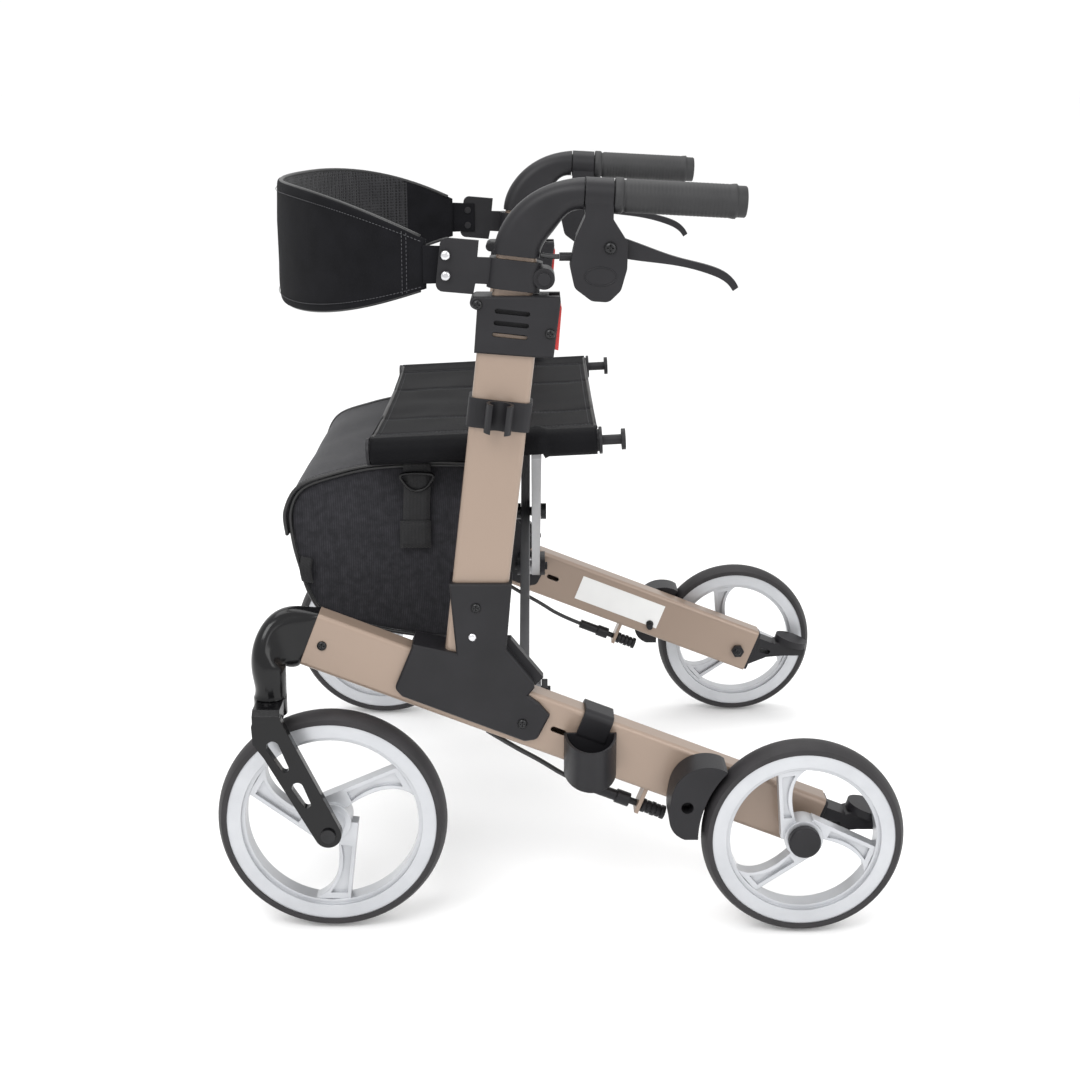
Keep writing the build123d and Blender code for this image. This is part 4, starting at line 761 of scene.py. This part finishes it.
seat_rows = [SEAT_FIRST_ROW + (SEAT_LENGTH - SEAT_FIRST_ROW) * i / SEAT_ROWS for i in range(SEAT_ROWS + 1)]
seat = loft("seat_sling", [seat_row(along) for along in seat_rows], seat_vinyl)
bend_with_brace(seat)
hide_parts("seat")

binding_rods = []
for i, along in enumerate((1.6, SEAT_LENGTH - 0.6)):
    line = seat_line([(along, -192 + 384 * k / 60) for k in range(61)], -1.0)
    binding_rods.append(rod_along(f"binding_{i}", line, 0.0021, piping_vinyl))
bend_with_brace(joined("seat_bindings", binding_rods))

seam_lines = [seat_line([(6 + 212 * k / 40, y) for k in range(41)], 0.2)
              for y in (-170.5, -165.5, -80, -76, 76, 80, 165.5, 170.5)]
seam_lines += [seat_line([(along, -160 + 320 * k / 60) for k in range(61)], 0.2) for along in (7.5, 217.5)]
bend_with_brace(sew("seat_stitches", seam_lines))


# ---- bag: soft box with a lid, hung in front of the brace ----

BAG_HALF_WIDTH = 171.0
BAG_CENTRE = Vector((400, 0, 356))
BAG_LINE = [(300, 446), (360, 449), (424, 446), (466, 437), (500, 424), (513, 400), (511, 368), (504, 338),
            (496, 312), (482, 292), (450, 280), (404, 270), (352, 264), (316, 270), (299, 286), (292, 330),
            (289, 390), (291, 432)]
BAG_END_RINGS = 12
BAG_CORNER_RINGS = 4
BAG_MIDDLE_RINGS = 40
LID_LINE = [(302, 450.5), (360, 453), (424, 450.5), (468, 441), (503, 427.5), (517.5, 402), (516.5, 378)]
LID_HALF_WIDTH = 170.5
LID_THICKNESS = 1.8
bag_outline = smooth_line([(x, 0, z) for x, z in BAG_LINE], steps=6, closed=True)
lid_outline = smooth_line([(x, 0, z) for x, z in LID_LINE], steps=8)


def wrinkle(p, amount):
    """Soft hollows and folds of hung cloth, in millimetres."""
    wide = noise.noise(Vector((p.x * 0.011, p.y * 0.014, p.z * 0.012)))
    fold = noise.noise(Vector((p.x * 0.03 + 7, p.y * 0.02, p.z * 0.016 + 3)))
    return amount * (0.75 * wide + 0.4 * fold)


def bag_profile():
    """The bag's (size, y) from one bulging end panel to the other."""
    profile = []
    for k in range(BAG_END_RINGS):
        size = sin(k / BAG_END_RINGS * pi / 2) ** 0.9 if k else 0.02
        profile.append((size * 0.965, -BAG_HALF_WIDTH + 3.0 - 5.0 * (1 - size ** 2.2)))
    for k in range(1, BAG_CORNER_RINGS + 1):
        angle = k / BAG_CORNER_RINGS * pi / 2
        profile.append((0.965 + 0.035 * sin(angle), -BAG_HALF_WIDTH + 3.0 + 9 * (1 - cos(angle))))
    middle = [(1.0 + 0.012 * cos(pi * y / (2 * BAG_HALF_WIDTH)), y)
              for y in [-150 + 300 * k / BAG_MIDDLE_RINGS for k in range(BAG_MIDDLE_RINGS + 1)]]
    return profile + middle + [(size, -y) for size, y in reversed(profile)]


def make_bag():
    skin = []
    for size, y in bag_profile():
        ring = []
        for p in bag_outline:
            flat = BAG_CENTRE + (p - BAG_CENTRE) * size
            flat.y = y
            push = wrinkle(flat, 2.6) - 1.6
            if abs(y) > BAG_HALF_WIDTH - 6:
                flat.y += (-1 if y < 0 else 1) * min(push * 0.8, 1.4)
            else:
                out = (p - BAG_CENTRE).normalized()
                flat += Vector((out.x, 0, out.z)) * push
            ring.append(spot(flat.x, flat.y, flat.z))
        skin.append(ring)
    return loft("bag_body", skin, bag_cloth)


def crumple_with_frame(item):
    """The bag and what is sewn to it ride on the left frame, each in a mesh of its own."""
    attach(item, "left_frame")
    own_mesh(item)


bag = make_bag()
crumple_with_frame(bag)
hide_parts("bag")


def make_lid():
    """Lid panel: a bent sheet over the bag's top with a short front flap."""
    columns = [-LID_HALF_WIDTH + 2 * LID_HALF_WIDTH * k / 48 for k in range(49)]
    sections = []
    for p in lid_outline:
        lifts = [min(wrinkle(Vector((p.x, y, p.z)), 1.8) - 1.0, 0.8) for y in columns]
        upper = [spot(p.x, y, p.z + lift) for y, lift in zip(columns, lifts)]
        back = 1.6 * max(0.0, (p.x - 480) / 37)
        lower = [spot(p.x - back, y, p.z + lift - LID_THICKNESS) for y, lift in zip(columns, lifts)]
        sections.append(upper + lower[::-1])
    return loft("bag_lid", sections, bag_cloth)


crumple_with_frame(make_lid())

pipes = []
for side in (1, -1):
    rim = [BAG_CENTRE + (p - BAG_CENTRE) * 0.995 for p in bag_outline]
    rim_line = [spot(p.x, side * (BAG_HALF_WIDTH - 2.6), p.z) for p in rim]
    pipes.append(rod_along(f"side_piping_{side}", rim_line, 0.0020, piping_vinyl, closed=True))
    lid_edge = [spot(p.x, side * BAG_HALF_WIDTH, p.z - 1.0) for p in lid_outline]
    pipes.append(rod_along(f"lid_piping_{side}", lid_edge, 0.0019, piping_vinyl))
front_edge = [spot(516.5, y, 377.5 + 1.0 * sin(y * 0.03)) for y in range(-171, 172, 9)]
pipes.append(rod_along("lid_front_piping", front_edge, 0.0019, piping_vinyl))
crumple_with_frame(joined("bag_piping", pipes))
crumple_with_frame(sew("lid_stitches", [
    [spot(p.x, side * 164.0, p.z + 0.3) for p in lid_outline] for side in (1, -1)]))


def ribbon(name, line, width_direction, width, thickness, material):
    """Flat strap along a line."""
    half = Vector(width_direction).normalized() * width / 2
    sections = []
    for i, p in enumerate(line):
        before, after = Vector(line[max(i - 1, 0)]), Vector(line[min(i + 1, len(line) - 1)])
        out = (after - before).normalized().cross(half).normalized() * thickness / 2
        p = Vector(p)
        inner, crown = half * 0.5, out * 1.1
        sections.append([p - half - out, p - inner - crown, p + inner - crown, p + half - out,
                         p + half + out, p + inner + crown, p - inner + crown, p - half + out])
    return loft(name, sections, material)


hangers = []
for side in (1, -1):
    strap_line = smooth_line([spot(383, side * 174.5, 452), spot(383, side * 175.5, 430),
                              spot(384, side * 175.2, 405), spot(385, side * 174.6, 372)], steps=6)
    hangers.append(ribbon(f"strap_{side}", strap_line, (1, 0, 0), 0.027, 0.0018, webbing))
    patch_line = smooth_line([spot(385, side * 177.0, 392), spot(385.5, side * 176.6, 364)], steps=4)
    hangers.append(ribbon(f"patch_{side}", patch_line, (1, 0, 0), 0.031, 0.0020, webbing))
crumple_with_frame(joined("bag_straps", hangers))

RING_BOW = [(-15, 0), (15, 0), (13, -9), (7, -15), (0, -17), (-7, -15), (-13, -9)]
rings = []
for side in (1, -1):
    bow = smooth_line([spot(383 + x, side * 178.0, 441 + z) for x, z in RING_BOW], steps=5, closed=True)
    rings.append(rod_along(f"ring_{side}", bow, 0.0017, gloss_black, closed=True))
crumple_with_frame(joined("strap_rings", rings))

tag_line = smooth_line([spot(497, 171.0, 352), spot(498.5, 174.4, 340), spot(497, 172.0, 326)], steps=5)
crumple_with_frame(ribbon("bag_tag", tag_line, (1, 0, 0.2), 0.012, 0.0012, webbing))


# ---- backrest: padded band between the two clamp plates ----

BACKREST_END = 366.0
BACKREST_REACH = 172.0
BACKREST_HALF_WIDTH = 243.0
BACKREST_MID = 660.0
BAND_INSET = 4.0
BAND_STEPS = 120
BAND_ROUND = 40


def band_height(share, level=1):
    """Reach of the band above or, where level is below 0, under its middle: share is 0 at its ends."""
    grown = 1 - (1 - min(share * 1.12, 1.0)) ** 1.7
    return 23.0 + (42.5 * grown if level >= 0 else 34.0 * grown ** 1.1)


def band_place(turn):
    """Middle of the band and its outward direction, at an angle round the half ellipse."""
    reach = BACKREST_REACH - BAND_INSET
    centre = Vector((BACKREST_END + reach * cos(turn), BACKREST_HALF_WIDTH * sin(turn), BACKREST_MID))
    out = Vector((cos(turn) * BACKREST_HALF_WIDTH, sin(turn) * reach, 0)).normalized()
    return centre, out


def band_section(turn):
    """Flat oval section of the band, thinner where it meets its tabs."""
    centre, out = band_place(turn)
    pinch = 1 - 0.45 * max(0.0, 1 - (1 - abs(sin(turn))) * 26)
    section = []
    for k in range(BAND_ROUND):
        across, up = cos(2 * pi * k / BAND_ROUND), sin(2 * pi * k / BAND_ROUND)
        thick = 4.2 * (abs(across) ** 0.35) * (1 if across > 0 else -1)
        rise = band_height(cos(turn), up) * (abs(up) ** 0.55) * (1 if up > 0 else -1)
        p = centre + out * (thick * pinch + noise.noise(Vector((turn * 5, rise * 0.03, 2))) * 0.7)
        section.append(spot(p.x, p.y, p.z + rise))
    return section


def make_backrest():
    """The band, with spacer mesh on the side that the user leans on."""
    turns = [radians(-90 + 180 * i / BAND_STEPS) for i in range(BAND_STEPS + 1)]
    item = loft("backrest_band", [band_section(turn) for turn in turns], smooth_cloth)
    item.data.materials.append(spacer_mesh)
    centre_x = REAR_AXLE_X + BACKREST_END * MM
    for face in item.data.polygons:
        middle = face.center
        inward = Vector((centre_x - middle.x, -middle.y, 0)).normalized()
        share_x = (middle.x - centre_x) / (BACKREST_REACH * MM)
        share_y = middle.y / (BACKREST_HALF_WIDTH * MM)
        reach = sqrt(share_x ** 2 + share_y ** 2)
        if face.normal.dot(inward) > 0.55 and abs(middle.y) < 0.225 and reach > 0.4:
            face.material_index = 1
    return item


def crumple_with_handles(item):
    """The band and what is fixed to it ride on the left handle, each in a mesh of its own."""
    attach(item, "left_handle")
    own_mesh(item)


backrest = make_backrest()
crumple_with_handles(backrest)
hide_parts("backrest")


def band_spot(turn, offset, rise):
    """Point a distance outside the band's middle and above it, at an angle round the half ellipse."""
    centre, out = band_place(turn)
    p = centre + out * offset
    return spot(p.x, p.y, p.z + rise)


def band_line(level, offset):
    """Line along the band, at a share of its height above or below its middle."""
    turns = [radians(-88 + 176 * i / 90) for i in range(91)]
    return [band_spot(turn, offset, level * band_height(cos(turn), level)) for turn in turns]


def end_seam(turn):
    """Upright seam across the band near its end."""
    levels = [-1 + 2 * k / 12 for k in range(13)]
    return [band_spot(turn, SEAM_OFFSET, level * band_height(cos(turn), level) * 0.9) for level in levels]


SEAM_OFFSET = 4.6
crumple_with_handles(joined("backrest_bindings", [
    rod_along("upper_binding", band_line(0.985, -1.0), 0.0022, piping_vinyl),
    rod_along("lower_binding", band_line(-0.985, -1.0), 0.0022, piping_vinyl)]))
crumple_with_handles(sew("backrest_stitches", [
    band_line(0.86, SEAM_OFFSET), band_line(-0.86, SEAM_OFFSET),
    *(end_seam(radians(turn)) for turn in (-84, -82.6, 82.6, 84))]))

TAB_CORNERS = ((339, 643), (369, 642), (369, 678), (339, 677))
tabs = []
for side, k in SIDES:
    outline = [spot(x, 244.9 * k, z) for x, z in TAB_CORNERS]
    tabs.append(plate(f"{side}_backrest_tab", outline, 0.0028, (0, k, 0), smooth_cloth, bevel=0.0008))
crumple_with_handles(joined("backrest_tabs", tabs))


# ---- grips ----

def bar_point(along, y):
    """Point on the handle bar's axis, a distance behind its start."""
    return spot(BAR_START[0] - along * cos(BAR_SLOPE), y, BAR_START[1] - along * sin(BAR_SLOPE))


GRIP_RIBS = 26
RIBBED_FROM, RIBBED_LENGTH = 40.0, 93.0


def grip_profile():
    """(along, radius) of the moulded grip: front collar, ribs, end collar and closed end."""
    profile = [(28.0, 11.2), (28.0, 15.6), (28.8, 16.5), (35.0, 16.5), (35.8, 15.9), (36.6, 14.6),
               (38.0, 14.6), (38.8, 15.5)]
    for k in range(GRIP_RIBS):
        start = RIBBED_FROM + RIBBED_LENGTH * k / GRIP_RIBS
        profile += [(start, 15.5), (start + 1.2, 15.6), (start + 2.6, 15.6), (start + 3.2, 15.4)]
    profile += [(134.0, 15.6), (138.0, 16.2), (140.0, 16.2), (140.6, 15.0), (142.0, 14.6), (148.6, 14.6),
                (149.7, 13.6), (150.2, 11.0), (150.2, 0.0)]
    return [(a * MM, r * MM) for a, r in profile]


for side, k in SIDES:
    start = bar_point(0, GRIP_Y * k)
    axis = (-cos(BAR_SLOPE), 0, -sin(BAR_SLOPE))
    grip = turned(f"{side}_grip_rubber", start, axis, grip_profile(), grip_rubber, segments=56)
    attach(grip, f"{side}_handle")
    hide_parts(f"{side}_grip")


# ---- brake cables ----


def cable_run(name, route, body, node):
    """Brake cable on one smooth line, from its casing to its entry."""
    data = bpy.data.curves.new(name, "CURVE")
    data.dimensions = "3D"
    line = data.splines.new("NURBS")
    line.points.add(len(route) - 1)
    for point, place in zip(line.points, route):
        point.co = (*place, 1)
    line.order_u = 3
    line.use_endpoint_u = True
    data.bevel_depth = CABLE_RADIUS
    data.bevel_resolution = 6
    data.resolution_u = 12
    data.use_fill_caps = True
    data.materials.append(cable_sheath)
    item = bpy.data.objects.new(name, data)
    bpy.context.scene.collection.objects.link(item)
    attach(item, body)
    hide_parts(node)
    return item


for side, k in SIDES:
    y = CABLE_Y * k
    route = [spot(312.0, y, 193.6), spot(286.0, y, 176.5), spot(258.0, y, 161.0),
             along_lower_tube(290.0, -48.4, y), along_lower_tube(320.0, -49.0, y)]
    run = cable_run(f"{side}_brake_cable", route, f"{side}_frame", f"{side}_lower_cable")
    short = [spot(242.2, 250 * k, 668.0), spot(251.0, 250 * k, 668.2), spot(259.4, 249.5 * k, 669.5)]
    stub = rod_along(f"{side}_lever_cable", smooth_line(short, steps=6), CABLE_RADIUS, cable_sheath,
                     segments=16)
    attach(stub, f"{side}_handle")
    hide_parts(f"{side}_upper_cable")


# ---- screws, rivets, rests and small fittings ----

REST_PROFILE = [(228.2, 438), (228.2, 470), (218.0, 470), (214.5, 465.5), (208.5, 461.0), (203.0, 459.4),
                (203.0, 456.5), (215.0, 446.0)]
REST_STATION = upright_station(455)
OVAL_STATION, OVAL_Z = 204, 651
OVAL_LENGTH, OVAL_HEIGHT = 14.5, 8.5
OVAL_STEPS = 48


def oval_point(turn, level):
    return Vector((REAR_AXLE_X + (OVAL_STATION + OVAL_LENGTH * cos(turn)) * MM, level,
                   (OVAL_Z + OVAL_HEIGHT * sin(turn)) * MM))


for side, k in SIDES:

    def placed(node, station, z, toward=k):
        return on_face(f"{side}_{node}", station, z, toward), Vector((0, toward, 0))

    fasten(f"{side}_frame_screws", pan_head, 0.0048, black_screw, [
        placed("lower_tube", 472.5, 288.2), placed("bracket", 321.5, 329.2), placed("bracket", 276.6, 209.4),
        placed("rear_axle", 0.6, 100.4, -k), (spot(115.1, 227.8 * k, 136.7), Vector((0, -k, 0))),
        placed("latch_housing", 318.0, 624.5), placed("latch_housing", 250.3, 597.2)], f"{side}_frame")
    fasten(f"{side}_bracket_rivet", dome_head, 0.0042, bright_steel,
           [placed("bracket", 325.2, 299.3)], f"{side}_frame")
    fasten(f"{side}_plate_bolts", dome_head, 0.0046, bright_steel, [
        placed("backrest_clamp", 347.3, 669.5), placed("backrest_clamp", 347.3, 650.5)], f"{side}_handle")
    fasten(f"{side}_lever_bolt", pan_head, 0.0056, black_screw,
           [placed("brake_housing", 195.3, 677.5)], f"{side}_handle")

    # Saddle that takes the seat tube's weight.
    ends = [[spot(REST_STATION + shift, y * k, z) for y, z in REST_PROFILE] for shift in (-13, 13)]
    saddle = loft(f"{side}_seat_rest", ends, charcoal, smooth=False)
    round_off(saddle, 0.001)
    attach(saddle, f"{side}_frame")

    # Plain oval bead on the brake housing's outer face.
    level = on_face(f"{side}_brake_housing", 191, 652, k).y
    oval = [oval_point(2 * pi * j / OVAL_STEPS, level) for j in range(OVAL_STEPS)]
    bead = rod_along(f"{side}_housing_oval", oval, 0.0007, charcoal, closed=True, segments=8)
    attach(bead, f"{side}_handle")

# Blank label on the right lower tube's inner face.
LABEL_CORNERS = ((298, -15), (412, -15), (412, 17), (298, 17))
corners = [along_lower_tube(along, above, -LOWER_TUBE_INNER_Y) for along, above in LABEL_CORNERS]
label = plate("blank_label", corners, 0.00035, (0, 1, 0), blank_label, bevel=0.0001)
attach(label, "right_frame")

for head in (pan_head, dome_head):
    bpy.data.objects.remove(head)
